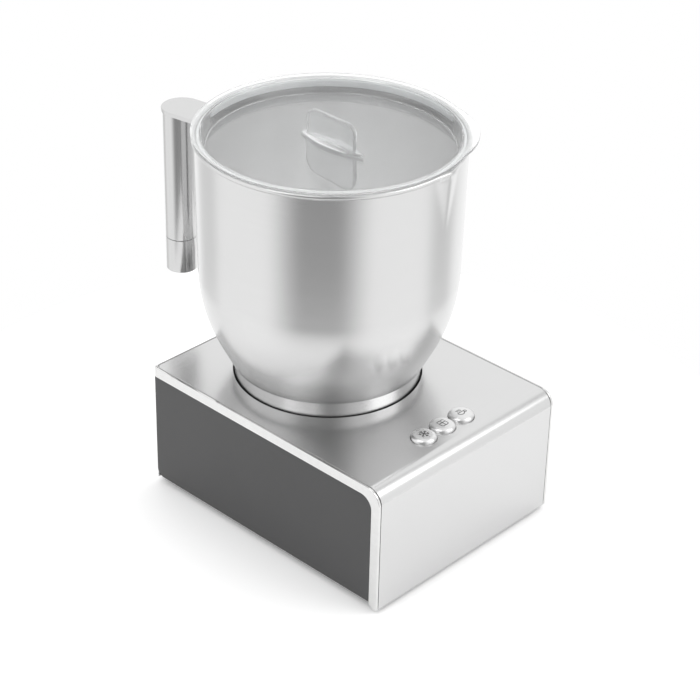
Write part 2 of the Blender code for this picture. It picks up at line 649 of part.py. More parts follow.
def helix(name, radius, wire, low, high, turns, finish, parent):
    """Round wire wound upwards about the parent's axis."""
    curve = bpy.data.curves.new(name, "CURVE")
    curve.dimensions = "3D"
    curve.bevel_depth = wire
    curve.bevel_resolution = 1
    curve.use_fill_caps = True
    spline = curve.splines.new("POLY")
    count = 12 * turns
    spline.points.add(count)
    for i, point in enumerate(spline.points):
        angle = 2 * math.pi * turns * i / count
        point.co = (radius * math.cos(angle), radius * math.sin(angle),
                    low + (high - low) * i / count, 1)
    obj = bpy.data.objects.new(name, curve)
    place(obj, finish, parent=parent)
    return fixed_mesh(obj)


# ------------------------------------------------------------------ electronics
def standoff_places():
    x = POWER_BOARD_WIDTH / 2 - 2 * STANDOFF_RADIUS
    front = FRONT_Y + POWER_BOARD_SETBACK + 2 * STANDOFF_RADIUS
    back = FRONT_Y + POWER_BOARD_SETBACK + POWER_BOARD_DEPTH - 2 * STANDOFF_RADIUS
    return [(sx * x, y) for y in (front, back) for sx in (-1, 1)]


def fan_y():
    """Fan centre: halfway between the power board and the back wall."""
    board_back = FRONT_Y + POWER_BOARD_SETBACK + POWER_BOARD_DEPTH
    return (board_back + BACK_Y - SHEET - TRAY_WALL) / 2


def make_power_board():
    middle = FRONT_Y + POWER_BOARD_SETBACK + POWER_BOARD_DEPTH / 2
    box("power_board", (POWER_BOARD_WIDTH, POWER_BOARD_DEPTH, BOARD_THICKNESS),
        (0, middle, BOARD_Z + BOARD_THICKNESS / 2), BOARD)
    top = BOARD_Z + BOARD_THICKNESS + GAP
    sink_x, sink_y, sink_z = SINK_SIZE
    place_x = POWER_BOARD_WIDTH / 2 - sink_x / 2 - 4 * STANDOFF_RADIUS
    sink = box("heat_sink", SINK_SIZE, (-place_x, middle, top + sink_z / 2), ALUMINIUM)
    pitch = sink_x / SINK_FIN_COUNT
    for i in range(SINK_FIN_COUNT - 1):
        x = -place_x + (i + 1 - SINK_FIN_COUNT / 2) * pitch
        cut(sink, box(f"cut_fin_{i}", (pitch / 2, 2 * sink_y, sink_z),
                      (x, middle, top + sink_z * 0.65)))
    edge = 0.001
    height = top + CAPACITOR_HEIGHT
    profile = [(0, height), (CAPACITOR_RADIUS - edge, height), (CAPACITOR_RADIUS, height - edge),
               (CAPACITOR_RADIUS, top), (0, top)]
    turned("power_capacitor", profile, PANEL, location=(place_x, middle + 1.3 * CAPACITOR_RADIUS, 0))
    section = arc((CHOKE_RADIUS, top + CHOKE_SECTION), CHOKE_SECTION, 360, 60, 5)
    turned("filter_choke", section, COPPER, closed=True,
           location=(place_x, middle - 1.6 * CHOKE_RADIUS, 0))


def make_fan():
    low = SHELL_Z + TRAY_FLOOR + GAP
    centre = (FAN_X, fan_y(), 0)
    bore = FAN_SIZE / 2 - FAN_WALL
    frame = box("fan_frame", (FAN_SIZE, FAN_SIZE, FAN_HEIGHT),
                (FAN_X, fan_y(), low + FAN_HEIGHT / 2), BLACK)
    cut(frame, rod("cut_fan_bore", bore, low + FAN_WALL, low + 2 * FAN_HEIGHT, centre[:2],
                   steps=32))
    mouth = ring_section(FAN_HUB_RADIUS, bore, low - FAN_WALL, low + 2 * FAN_WALL)
    opening = turned("cut_fan_mouth", mouth, closed=True, steps=32, location=centre)
    cut(opening, box("cut_strut_x", (2 * FAN_SIZE, 2 * FAN_WALL, FAN_HEIGHT), (FAN_X, fan_y(), low)),
        box("cut_strut_y", (2 * FAN_WALL, 2 * FAN_SIZE, FAN_HEIGHT), (FAN_X, fan_y(), low)))
    cut(frame, opening)
    hub_low, hub_high = low + FAN_WALL + GAP, low + FAN_HEIGHT - FAN_WALL
    fan_axis = axis_empty("fan_axis", centre)
    rotor = rod("fan_rotor", FAN_HUB_RADIUS, hub_low, hub_high, (0, 0), BLACK, parent=fan_axis)
    tip = bore - 2 * GAP
    for i in range(FAN_BLADES):
        angle = 2 * math.pi * i / FAN_BLADES
        inside = FAN_HUB_RADIUS * 0.7
        reach = (inside + tip) / 2
        blade = box(f"add_blade_{i}", (tip - inside, 0.001, (hub_high - hub_low) * 1.1),
                    (reach * math.cos(angle), reach * math.sin(angle), (hub_low + hub_high) / 2),
                    parent=fan_axis)
        blade.rotation_euler = (math.radians(35), 0, angle)
        join(rotor, blade)


# ------------------------------------------------------------------ buttons
def button_places():
    return [(i - (BUTTON_COUNT - 1) / 2) * BUTTON_SPACING for i in range(BUTTON_COUNT)]


def board_post_places():
    x = BUTTON_BOARD_WIDTH / 2 - 1.5 * BOARD_POST_RADIUS
    return [-x, x]


def make_buttons():
    names = ("left", "middle", "right")
    dome = BUTTON_DOME
    radius = (BUTTON_RADIUS ** 2 + dome ** 2) / (2 * dome)
    top = TOP_Z + BUTTON_PROUD
    half = math.degrees(math.asin(BUTTON_RADIUS / radius))
    crown = arc((0, top - radius), radius, 90, 90 - half, 4)
    skirt = TOP_Z - BUTTON_SKIRT
    profile = crown + [(BUTTON_RADIUS, skirt), (BUTTON_STEM_RADIUS, skirt),
                       (BUTTON_STEM_RADIUS, BUTTON_STEM_Z), (0, BUTTON_STEM_Z)]
    profile[0] = (0, top)
    lug_z = TOP_Z - SHEET - GAP - BUTTON_LUG_HEIGHT / 2
    for name, x in zip(names, button_places()):
        button = turned(f"button_{name}", profile, POLISHED, location=(x, BUTTON_Y, 0))
        lug = box(f"add_lug_{name}",
                  (BUTTON_LUG_WIDTH, 2 * (BUTTON_RADIUS + BUTTON_LUG_REACH), BUTTON_LUG_HEIGHT),
                  (x, BUTTON_Y, lug_z))
        join(button, lug)
        switch_z = BUTTON_BOARD_Z + BOARD_THICKNESS + GAP
        switch = box(f"tact_switch_{name}", (SWITCH_SIZE, SWITCH_SIZE, SWITCH_HEIGHT),
                     (x, BUTTON_Y, switch_z + SWITCH_HEIGHT / 2), BLACK)
        join(switch, rod(f"add_plunger_{name}", BUTTON_STEM_RADIUS * 0.8, switch_z + SWITCH_HEIGHT / 2,
                         SWITCH_TOP_Z, (x, BUTTON_Y), steps=12))


def make_button_board():
    board = box("button_board", (BUTTON_BOARD_WIDTH, BUTTON_BOARD_DEPTH, BOARD_THICKNESS),
                (0, BUTTON_Y, BUTTON_BOARD_Z + BOARD_THICKNESS / 2), BOARD)
    low = BUTTON_BOARD_Z - GAP - SCREW_HEAD
    high = BUTTON_BOARD_Z + SMALL_SCREW_LENGTH
    profile = [(0, high), (SCREW_RADIUS, high), (SCREW_RADIUS, low + SCREW_HEAD),
               (SCREW_HEAD_RADIUS, low + SCREW_HEAD), (SCREW_HEAD_RADIUS, low), (0, low)]
    for i, x in enumerate(board_post_places()):
        cut(board, rod(f"cut_board_{i}", SCREW_RADIUS + GAP, low, high, (x, BUTTON_Y), steps=12))
        turned(f"board_screw_{i + 1}", profile, STEEL, steps=12, location=(x, BUTTON_Y, 0))


# ------------------------------------------------------------------ jug
def bowl(offset):
    """Side of the bowl from the crease up to the straight wall, moved inwards by offset."""
    centre_r = SHOULDER_RADIUS - BOWL_ARC
    start_r = FOOT_BAND_RADIUS + BOWL_START
    tangent_r = centre_r + BOWL_ARC * math.cos(FLARE_ANGLE)
    crease_z = JUG_Z + FOOT_BAND_HEIGHT
    tangent_z = crease_z + (tangent_r - start_r) / math.tan(FLARE_ANGLE)
    centre_z = tangent_z + BOWL_ARC * math.sin(FLARE_ANGLE)
    points = arc((centre_r, centre_z), BOWL_ARC - offset, -math.degrees(FLARE_ANGLE), 0, 4)
    foot = (start_r - offset / math.cos(FLARE_ANGLE), crease_z)
    return [foot] + points


def wall_radius(height):
    """Outer radius of the straight wall between the bowl and the rim."""
    shoulder_z = bowl(0)[-1][1]
    share = (RIM_Z - height) / (RIM_Z - shoulder_z)
    return JUG_RADIUS + (SHOULDER_RADIUS - JUG_RADIUS) * share


def spout(angle, height):
    """How far the wall is pushed out for the pouring crease, opposite the handle."""
    away = abs((angle + math.pi / 2 + math.pi) % (2 * math.pi) - math.pi)
    depth = (RIM_Z - height) / SPOUT_DROP
    if depth >= 1:
        return 0.0
    width = SPOUT_HALF_ANGLE * (1 - depth)
    return SPOUT_REACH * (1 - depth) * max(0.0, 1 - away / width)


def make_jug():
    bead_r = JUG_RADIUS + BEAD_PROUD - BEAD_RADIUS
    bead_z = RIM_Z - BEAD_RADIUS
    bead = arc((bead_r, bead_z), BEAD_RADIUS, 150, -60, 5)
    under = JUG_Z + FOOT_RING_HEIGHT
    edge = FOOT_RING_HEIGHT / 2
    band_in = FOOT_BAND_RADIUS - JUG_WALL
    inner = [(0, JUG_FLOOR_Z), (band_in - 2 * edge, JUG_FLOOR_Z), (band_in, JUG_FLOOR_Z + 2 * edge)]
    outer = [(FOOT_BAND_RADIUS, JUG_Z + FOOT_BAND_HEIGHT - edge), (FOOT_BAND_RADIUS, JUG_Z + edge),
             (FOOT_BAND_RADIUS - edge, JUG_Z), (FOOT_BAND_RADIUS - FOOT_RING_WIDTH, JUG_Z),
             (FOOT_BAND_RADIUS - FOOT_RING_WIDTH - edge, under), (0, under)]
    steps_down = [RIM_Z - SPOUT_DROP * share for share in (0.5, 1.0)]
    wall_in = [(wall_radius(z) - JUG_WALL, z) for z in reversed(steps_down)]
    wall_out = [(wall_radius(z), z) for z in steps_down]
    profile = inner + bowl(JUG_WALL) + wall_in + bead + wall_out + bowl(0)[::-1] + outer
    jug = fixed_mesh(turned("jug_body", profile, BRUSHED, steps=ROUND, parent=jug_turn))
    for vertex in jug.data.vertices:
        x, y, z = vertex.co
        radius = math.hypot(x, y)
        if radius:
            push = 1 + spout(math.atan2(y, x), z) / radius
            vertex.co = (x * push, y * push, z)
    shade(jug.data)


def make_handle():
    """Flat arm with a round end, on an upright rod whose lowest part is a separate cap."""
    top = RIM_Z - HANDLE_BELOW_RIM
    low = top - HANDLE_LENGTH
    cap_top = low + HANDLE_CAP
    half = ARM_WIDTH / 2
    end = arc((0, HANDLE_REACH - half), half, 0, 180, 10)
    outline = [(half, SHOULDER_RADIUS)] + end + [(-half, SHOULDER_RADIUS)]
    handle = slab("handle", outline, ARM_THICKNESS, POLISHED, parent=jug_turn,
                  location=(0, 0, top - ARM_THICKNESS / 2))
    place_of_rod = (0, HANDLE_OFFSET)
    join(handle, rod("add_handle_rod", HANDLE_RADIUS, cap_top + GAP, top - ARM_THICKNESS / 2,
                     place_of_rod, steps=SMALL_ROUND, parent=jug_turn))
    cut(handle, rod("cut_handle", wall_radius(top) + GAP, low, RIM_Z, (0, 0), steps=ROUND,
                    parent=jug_turn))
    profile = [(0, cap_top), (HANDLE_RADIUS, cap_top), (HANDLE_RADIUS, low + HANDLE_EDGE),
               (HANDLE_RADIUS - HANDLE_EDGE, low), (0, low)]
    turned("handle_end_cap", profile, POLISHED, location=(*place_of_rod, 0), parent=jug_turn)


# ------------------------------------------------------------------ lid
def make_lid():
    flange_low = RIM_Z + GAP
    top = flange_low + LID_FLANGE
    plug = JUG_BORE - 2 * GAP - LID_SEAL_WIDTH
    flange_r = JUG_RADIUS + LID_OVERHANG
    inner_top = plug - LID_WALL_TOP
    floor_r = plug - LID_WALL_FOOT
    floor_z = top + LID_FLANGE_SLOPE - LID_DROP
    profile = [(0, floor_z), (floor_r, floor_z), (inner_top, top - LID_FLANGE_SLOPE / 2),
               (flange_r, top + LID_FLANGE_SLOPE / 2), (flange_r, flange_low), (plug, flange_low - GAP),
               (plug, floor_z - LID_FLOOR), (0, floor_z - LID_FLOOR)]
    lid = turned("lid", profile, CLEAR, steps=ROUND, parent=jug_axis)
    reach = flange_r + LID_LUG_REACH - LID_LUG_RADIUS
    centre = (reach * math.cos(LID_LUG_ANGLE), reach * math.sin(LID_LUG_ANGLE))
    lug = rod("add_lug", LID_LUG_RADIUS, flange_low, top, centre, steps=ROUND, parent=jug_axis)
    cut(lug, rod("cut_lug", (inner_top + flange_r) / 2, flange_low - GAP, top + GAP, (0, 0),
                 steps=ROUND, parent=jug_axis))
    join(lid, lug)
    seal_top = flange_low - 4 * GAP
    turned("lid_seal", ring_section(plug + GAP, plug + GAP + LID_SEAL_WIDTH, seal_top - LID_SEAL_HEIGHT,
                                    seal_top),
           SILICONE, closed=True, steps=ROUND, parent=jug_axis)
    make_grip(floor_z + GAP)


def make_grip(foot_z):
    """Upright plate on a lens-shaped foot, for lifting the lid."""
    length, width = GRIP_FOOT_LENGTH / 2, GRIP_FOOT_WIDTH / 2
    radius = (length ** 2 + width ** 2) / (2 * width)
    half = math.degrees(math.asin(length / radius))
    right = arc((width - radius, 0), radius, -half, half, 8)
    left = arc((radius - width, 0), radius, 180 - half, 180 + half, 8)[1:-1]
    foot = slab("lid_grip", right + left, GRIP_FOOT_HEIGHT, CLEAR, parent=jug_axis,
                location=(0, 0, foot_z + GRIP_FOOT_HEIGHT / 2))
    reach = GRIP_LENGTH / 2
    inner = reach - GRIP_CORNER
    low, top = foot_z + GRIP_FOOT_HEIGHT / 2, foot_z + GRIP_HEIGHT
    outline = ([(-reach, low)] + arc((-inner, top - GRIP_CORNER), GRIP_CORNER, 180, 90, 5)
               + arc((inner, top - GRIP_CORNER), GRIP_CORNER, 90, 0, 5) + [(reach, low)])
    join(foot, slab("add_grip_plate", outline, GRIP_THICKNESS, facing="X", parent=jug_axis))


# ------------------------------------------------------------------ whisk
def make_whisk():
    base = JUG_FLOOR_Z + GAP
    tip = base + SPINDLE_HEIGHT
    edge = SPINDLE_RADIUS / 4
    spindle = [(0, tip), (SPINDLE_RADIUS - edge, tip), (SPINDLE_RADIUS, tip - edge),
               (SPINDLE_RADIUS, base + SPINDLE_FLANGE), (SPINDLE_FLANGE_RADIUS, base + SPINDLE_FLANGE),
               (SPINDLE_FLANGE_RADIUS, base), (0, base)]
    turned("whisk_spindle", spindle, POLISHED, parent=jug_axis)

    foot = base + SPINDLE_FLANGE + GAP
    bore = SPINDLE_RADIUS + GAP
    outside = bore + BUSH_WALL
    knob = outside + HUB_WALL
    knob_low = tip + GAP
    crown = knob_low + BUSH_CAP
    bush = [(0, tip + GAP), (bore, tip + GAP), (bore, foot), (outside, foot), (outside, knob_low)]
    knob_side = [(knob, knob_low + GAP), (knob, crown - 2 * edge), (knob - 2 * edge, crown), (0, crown)]
    turned("whisk_bush", (bush + knob_side)[::-1], BLACK, parent=jug_axis)

    sleeve_in = outside + GAP
    sleeve_out = sleeve_in + HUB_WALL
    top = knob_low - GAP
    disc = foot + HUB_DISC_HEIGHT
    pocket_in, pocket_out = sleeve_out + GAP, sleeve_out + MAGNET_RING_WIDTH + 3 * GAP
    pocket = foot + MAGNET_HEIGHT + 2 * GAP
    hub = turned("whisk_hub", [(sleeve_out, top), (sleeve_out, disc), (HUB_DISC_RADIUS, disc),
                               (HUB_DISC_RADIUS, foot), (pocket_out, foot), (pocket_out, pocket),
                               (pocket_in, pocket), (pocket_in, foot), (sleeve_in, foot),
                               (sleeve_in, top)],
                 BLACK, closed=True, parent=jug_axis)
    ring_z = foot + COIL_WIRE_SPACE
    for i in range(3):
        angle = 2 * math.pi * i / 3
        reach = (HUB_DISC_RADIUS * 0.9 + COIL_RING_RADIUS - COIL_WIRE_SPACE - GAP) / 2
        length = COIL_RING_RADIUS - COIL_WIRE_SPACE - GAP - HUB_DISC_RADIUS * 0.9
        spoke = box(f"add_spoke_{i}", (length, 0.003, HUB_DISC_HEIGHT / 2),
                    (reach * math.cos(angle), reach * math.sin(angle), ring_z), parent=jug_axis)
        spoke.rotation_euler = (0, 0, angle)
        join(hub, spoke)
    turned("whisk_magnet", ring_section(pocket_in + GAP, pocket_out - GAP, foot + GAP,
                                        foot + GAP + MAGNET_HEIGHT),
           MAGNET, closed=True, parent=jug_axis)
    section = arc((COIL_RING_RADIUS, ring_z), COIL_WIRE_SPACE, 360, 45, 7)
    turned("whisk_coil", section, POLISHED, closed=True, parent=jug_axis)


make_housing()
make_sides()
make_tray()
make_feet()
make_base_screws()
make_gland()
make_inner_frame()
make_heater()
make_motor()
make_sensor()
make_power_board()
make_fan()
make_buttons()
make_button_board()
make_jug()
make_handle()
make_lid()
make_whisk()
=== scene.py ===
"""Looks of the induction milk frother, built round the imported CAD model: fine meshes for the
visible pieces, a procedural material for every piece, a pale floor, soft studio light and camera.

Metres, +Z up, -Y is the front, where the buttons are. Levels and places are read from the CAD
nodes; the sizes below are details of the fine meshes.
"""
import math

import bmesh
import bpy
from mathutils import Matrix, Vector


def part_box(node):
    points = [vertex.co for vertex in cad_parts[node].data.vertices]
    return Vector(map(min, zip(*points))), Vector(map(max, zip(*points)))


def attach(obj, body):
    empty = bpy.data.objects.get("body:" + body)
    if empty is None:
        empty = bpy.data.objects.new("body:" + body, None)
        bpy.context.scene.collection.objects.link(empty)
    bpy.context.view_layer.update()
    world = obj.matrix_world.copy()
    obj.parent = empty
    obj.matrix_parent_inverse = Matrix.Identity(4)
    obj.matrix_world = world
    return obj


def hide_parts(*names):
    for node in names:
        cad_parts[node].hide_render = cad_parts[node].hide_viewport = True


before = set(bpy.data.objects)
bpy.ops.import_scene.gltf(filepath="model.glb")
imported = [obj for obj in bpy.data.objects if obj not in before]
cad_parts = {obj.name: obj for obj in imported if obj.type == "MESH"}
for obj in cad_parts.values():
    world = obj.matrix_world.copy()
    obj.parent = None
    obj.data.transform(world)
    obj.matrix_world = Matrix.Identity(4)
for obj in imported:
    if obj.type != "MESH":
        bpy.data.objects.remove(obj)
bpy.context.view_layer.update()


def middle(low, high):
    """Centre of a box in plan."""
    return (low.x + high.x) / 2, (low.y + high.y) / 2


# ------------------------------------------------------------------ places read from the CAD
shell_low, shell_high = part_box("steel_housing")
trim_low, trim_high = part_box("side_trim_right")
panel_low, panel_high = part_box("side_panel_right")
jug_low, jug_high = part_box("jug_body")
seal_low, seal_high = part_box("lid_seal")
lid_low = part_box("lid")[0]
grip_low, grip_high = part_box("lid_grip")
handle_low, handle_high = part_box("handle")
end_low, end_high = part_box("handle_end_cap")
spindle_low, spindle_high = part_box("whisk_spindle")
bush_low, bush_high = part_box("whisk_bush")
hub_low, hub_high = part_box("whisk_hub")
coil_low, coil_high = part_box("whisk_coil")
frame_low, frame_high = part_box("inner_frame")
gland_low, gland_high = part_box("cord_gland")

FRONT_Y, BACK_Y = shell_low.y, shell_high.y
SHELL_Z, TOP_Z = shell_low.z, shell_high.z
SHEET_HALF = shell_high.x
SIDE_X = trim_high.x
JUG_Y = (seal_low.y + seal_high.y) / 2
JUG_Z, RIM_Z = jug_low.z, jug_high.z
ROD_X, ROD_Y = middle(end_low, end_high)
JUG_TURN = math.atan2(-ROD_X, ROD_Y - JUG_Y)    # from +Y, where the handle would point unturned

# ------------------------------------------------------------------ base
SHEET = 0.001
BEND_RADIUS = 0.0073      # front edge of the top
BACK_BEND_RADIUS = 0.0015
BACK_CORNER_RADIUS = 0.0035  # upright edges at the back, seen from above
SEAM_INSET = 0.0014        # fine groove along the back edge of the steel top
SEAM_WIDTH = 0.0006
SEAM_DEPTH = 0.0005
TRIM_WIDTH = 0.0046
TRIM_INNER_RADIUS = 0.006
TRIM_END_RADIUS = 0.003   # lower end of the strip
PANEL_CORNER = 0.004
PIECE_GAP = 0.0003
WELL_DEPTH = 0.0045
WELL_RADIUS = 0.0421
WELL_WALL = 0.0008
WELL_FLOOR = 0.0015
HOLE_EDGE = 0.0002        # broken edge of the holes in the steel top
BUTTON_GAP = 0.0002
GLAND_NECK = 0.0052
GLAND_RIBS = 4
SCREW_SLOT = 0.0006

# ------------------------------------------------------------------ jug
JUG_RADIUS = 0.058        # at the rim; the wall leans outwards
SHOULDER_RADIUS = 0.057   # where the bowl meets the wall
JUG_WALL = 0.0008
FOOT_BAND_RADIUS = 0.0415
FOOT_BAND_HEIGHT = 0.0117
FOOT_RING_WIDTH = 0.004
FOOT_RING_HEIGHT = 0.001
BOWL_START = 0.0015
FLARE_ANGLE = math.radians(27)
BOWL_ARC = 0.075
BEAD_RADIUS = 0.001
FLOOR_THICKNESS = 0.002
SPOUT_REACH = 0.0016
SPOUT_DROP = 0.030
SPOUT_HALF_ANGLE = math.radians(9)
HANDLE_REACH = 0.0893     # jug axis to the arm's round end
ARM_WIDTH = 0.0188
ARM_THICKNESS = 0.0018
ARM_EDGE = 0.0003
ROD_RADIUS = 0.0071
ROD_EDGE = 0.0006

# ------------------------------------------------------------------ lid
LID_FLOOR = 0.0018
LID_FLANGE = 0.0007
LUG_RADIUS = 0.038        # of the lug's round outline
FLANGE_RADIUS = 0.0592
LUG_REACH = 0.0621        # jug axis to the lug's outermost point
LUG_ANGLE = math.radians(-45)  # from +X, to the right at the front
GRIP_THICKNESS = 0.002
GRIP_LENGTH = 0.0276
GRIP_CORNER = 0.005
GRIP_FOOT_HEIGHT = 0.0012

# ------------------------------------------------------------------ whisk
WIRE_RADIUS = 0.00042
WIRE_TURNS = 38
BUSH_FLUTES = 18

# ------------------------------------------------------------------ mesh fineness
ROUND = 240
SMALL_ROUND = 72
BEND_STEPS = 20


# ------------------------------------------------------------------ outlines
def arc(centre, radius, start, end, count):
    """Points on an arc, angles in degrees, both ends included."""
    angles = [math.radians(start + (end - start) * i / count) for i in range(count + 1)]
    return [(centre[0] + radius * math.cos(a), centre[1] + radius * math.sin(a)) for a in angles]


def rounded(points, closed=False, steps=4):
    """Outline in which a corner given as (u, v, radius) becomes an arc."""
    made = []
    for i, point in enumerate(points):
        here = Vector(point[:2])
        if len(point) < 3 or (not closed and i in (0, len(points) - 1)):
            made.append(tuple(here))
            continue
        back = Vector(points[i - 1][:2]) - here
        ahead = Vector(points[(i + 1) % len(points)][:2]) - here
        half = back.angle(ahead) / 2
        reach = min(point[2] / math.tan(half), 0.48 * back.length, 0.48 * ahead.length)
        radius = reach * math.tan(half)
        bisector = (back.normalized() + ahead.normalized()).normalized()
        centre = here + bisector * radius / math.sin(half)
        start = here + back.normalized() * reach - centre
        end = here + ahead.normalized() * reach - centre
        first = math.atan2(start.y, start.x)
        turn = (math.atan2(end.y, end.x) - first + math.pi) % (2 * math.pi) - math.pi
        made += arc(centre, radius, math.degrees(first), math.degrees(first + turn), steps)
    return made


def front_bend(inset, radius):
    """Bend between the base's front and its top, seen from the side, as (y, z) from below."""
    centre = (FRONT_Y + inset + radius, TOP_Z - inset - radius)
    return arc(centre, radius, 180, 90, BEND_STEPS)


def back_bend():
    """Tight bend between the base's top and its back, as (y, z) from the top down."""
    radius = BACK_BEND_RADIUS
    return arc((BACK_Y - radius, TOP_Z - radius), radius, 90, 0, BEND_STEPS // 2)


# ------------------------------------------------------------------ solids
def object_from(name, work):
    """Object made of a closed bmesh, with its faces turned outwards."""
    bmesh.ops.recalc_face_normals(work, faces=work.faces)
    mesh = bpy.data.meshes.new(name)
    work.to_mesh(mesh)
    work.free()
    obj = bpy.data.objects.new(name, mesh)
    bpy.context.scene.collection.objects.link(obj)
    return obj


def turned(name, profile, closed=False, steps=SMALL_ROUND, centre=(0.0, 0.0), push=None):
    """Solid of revolution. push(angle, r, z) is an extra radius; closed makes a ring."""
    work = bmesh.new()
    rows = []
    for r, z in profile:
        if r < 1e-7:
            rows.append([work.verts.new((*centre, z))] * steps)
            continue
        row = []
        for i in range(steps):
            angle = 2 * math.pi * i / steps
            reach = r + (push(angle, r, z) if push else 0.0)
            row.append(work.verts.new((centre[0] + reach * math.cos(angle),
                                       centre[1] + reach * math.sin(angle), z)))
        rows.append(row)
    pairs = list(zip(rows, rows[1:] + rows[:1] if closed else rows[1:]))
    for upper, lower in pairs:
        for i in range(steps):
            j = (i + 1) % steps
            ring = [upper[i], upper[j], lower[j], lower[i]]
            corners = [v for k, v in enumerate(ring) if v is not ring[k - 1]]
            if len(corners) > 2:
                work.faces.new(corners)
    return object_from(name, work)


def bevel(work, width, steps=3, angle=40):
    sharp = [e for e in work.edges
             if len(e.link_faces) == 2 and e.calc_face_angle() > math.radians(angle)]
    bmesh.ops.bevel(work, geom=sharp, offset=width, segments=steps, profile=0.5,
                    affect="EDGES", clamp_overlap=True)


def prism(name, outline, low, high, edge=0.0, facing="Z", centre=(0.0, 0.0)):
    """Flat outline with a thickness. Facing X, the outline is (y, z) and low and high are x."""
    work = bmesh.new()
    across = facing == "X"

    def place(u, v, w):
        return (w, u, v) if across else (centre[0] + u, centre[1] + v, w)

    bottom = [work.verts.new(place(u, v, low)) for u, v in outline]
    top = [work.verts.new(place(u, v, high)) for u, v in outline]
    work.faces.new(bottom)
    work.faces.new(top)
    for i in range(len(outline)):
        j = (i + 1) % len(outline)
        work.faces.new([bottom[i], bottom[j], top[j], top[i]])
    bmesh.ops.recalc_face_normals(work, faces=work.faces)
    if edge:
        bevel(work, edge)
    return object_from(name, work)


def block(name, low, high, edge=0.0):
    """Rectangular block between two corners."""
    outline = [(low[0], low[1]), (high[0], low[1]), (high[0], high[1]), (low[0], high[1])]
    return prism(name, outline, low[2], high[2], edge)


def turn(obj, matrix):
    obj.data.transform(matrix)
    return obj


def combine(target, operation, *others):
    """Applies exact Booleans, one for each other object, which is then removed."""
    for other in others:
        made = target.modifiers.new(operation.lower(), "BOOLEAN")
        made.operation = operation
        made.object = other
        made.solver = "EXACT"
    bpy.context.view_layer.update()
    graph = bpy.context.evaluated_depsgraph_get()
    mesh = bpy.data.meshes.new_from_object(target.evaluated_get(graph))
    target.modifiers.clear()
    target.data = mesh
    for other in others:
        bpy.data.objects.remove(other, do_unlink=True)
    return target


def cut(target, *others):
    return combine(target, "DIFFERENCE", *others)


def join(target, *others):
    return combine(target, "UNION", *others)


# ------------------------------------------------------------------ materials
def add(tree, kind, inputs=None, **settings):
    """New node; an input's value is a number, a colour or another node's output socket."""
    made = tree.nodes.new(kind)
    for key, value in settings.items():
        setattr(made, key, value)
    for key, value in (inputs or {}).items():
        if isinstance(value, bpy.types.NodeSocket):
            tree.links.new(value, made.inputs[key])
        else:
            made.inputs[key].default_value = value
    return made


def maths(tree, operation, first, second=0.0):
    return add(tree, "ShaderNodeMath", {0: first, 1: second}, operation=operation).outputs[0]


def new_material(name):
    """Material with an empty Principled surface: (tree, shader)."""
    made = bpy.data.materials.new(name)
    made.use_nodes = True
    tree = made.node_tree
    return made, tree, tree.nodes["Principled BSDF"]


def coordinates(tree, around=False):
    """Place on the piece in metres. Around the jug's axis it is (arc length, radius, height)."""
    place = add(tree, "ShaderNodeTexCoord").outputs["Object"]
    if not around:
        return place
    parts = add(tree, "ShaderNodeSeparateXYZ", {0: place})
    y = maths(tree, "SUBTRACT", parts.outputs["Y"], JUG_Y)
    angle = maths(tree, "ARCTAN2", y, parts.outputs["X"])
    radius = maths(tree, "SQRT", maths(tree, "ADD", maths(tree, "POWER", parts.outputs["X"], 2.0),
                                       maths(tree, "POWER", y, 2.0)))
    return add(tree, "ShaderNodeCombineXYZ", {0: maths(tree, "MULTIPLY", angle, JUG_RADIUS),
                                              1: radius, 2: parts.outputs["Z"]}).outputs[0]


def noise(tree, place, cycles, detail=3.0, rough=0.55):
    """Noise from 0 to 1 with so many cycles to the metre along each axis."""
    scaled = add(tree, "ShaderNodeVectorMath", {0: place, 1: cycles}, operation="MULTIPLY")
    return add(tree, "ShaderNodeTexNoise", {"Vector": scaled.outputs[0], "Scale": 1.0,
                                            "Detail": detail, "Roughness": rough}).outputs[0]


def between(tree, factor, low, high, start=0.3, end=0.7):
    """A number that goes from low to high as factor goes from start to end."""
    return add(tree, "ShaderNodeMapRange", {"Value": factor, "From Min": start, "From Max": end,
                                            "To Min": low, "To Max": high}).outputs[0]


def blend(tree, factor, first, second):
    """Colour between two colours."""
    made = add(tree, "ShaderNodeMix", data_type="RGBA")
    tree.links.new(factor, made.inputs["Factor"])
    for socket, value in ((made.inputs[6], first), (made.inputs[7], second)):
        if isinstance(value, bpy.types.NodeSocket):
            tree.links.new(value, socket)
        else:
            socket.default_value = (*value, 1.0)
    return made.outputs[2]


def bumped(tree, shader, heights, distance, strength=1.0):
    made = add(tree, "ShaderNodeBump", {"Height": heights, "Distance": distance,
                                        "Strength": strength})
    tree.links.new(made.outputs[0], shader.inputs["Normal"])


def shaded(colour, factor):
    return tuple(c * factor for c in colour)


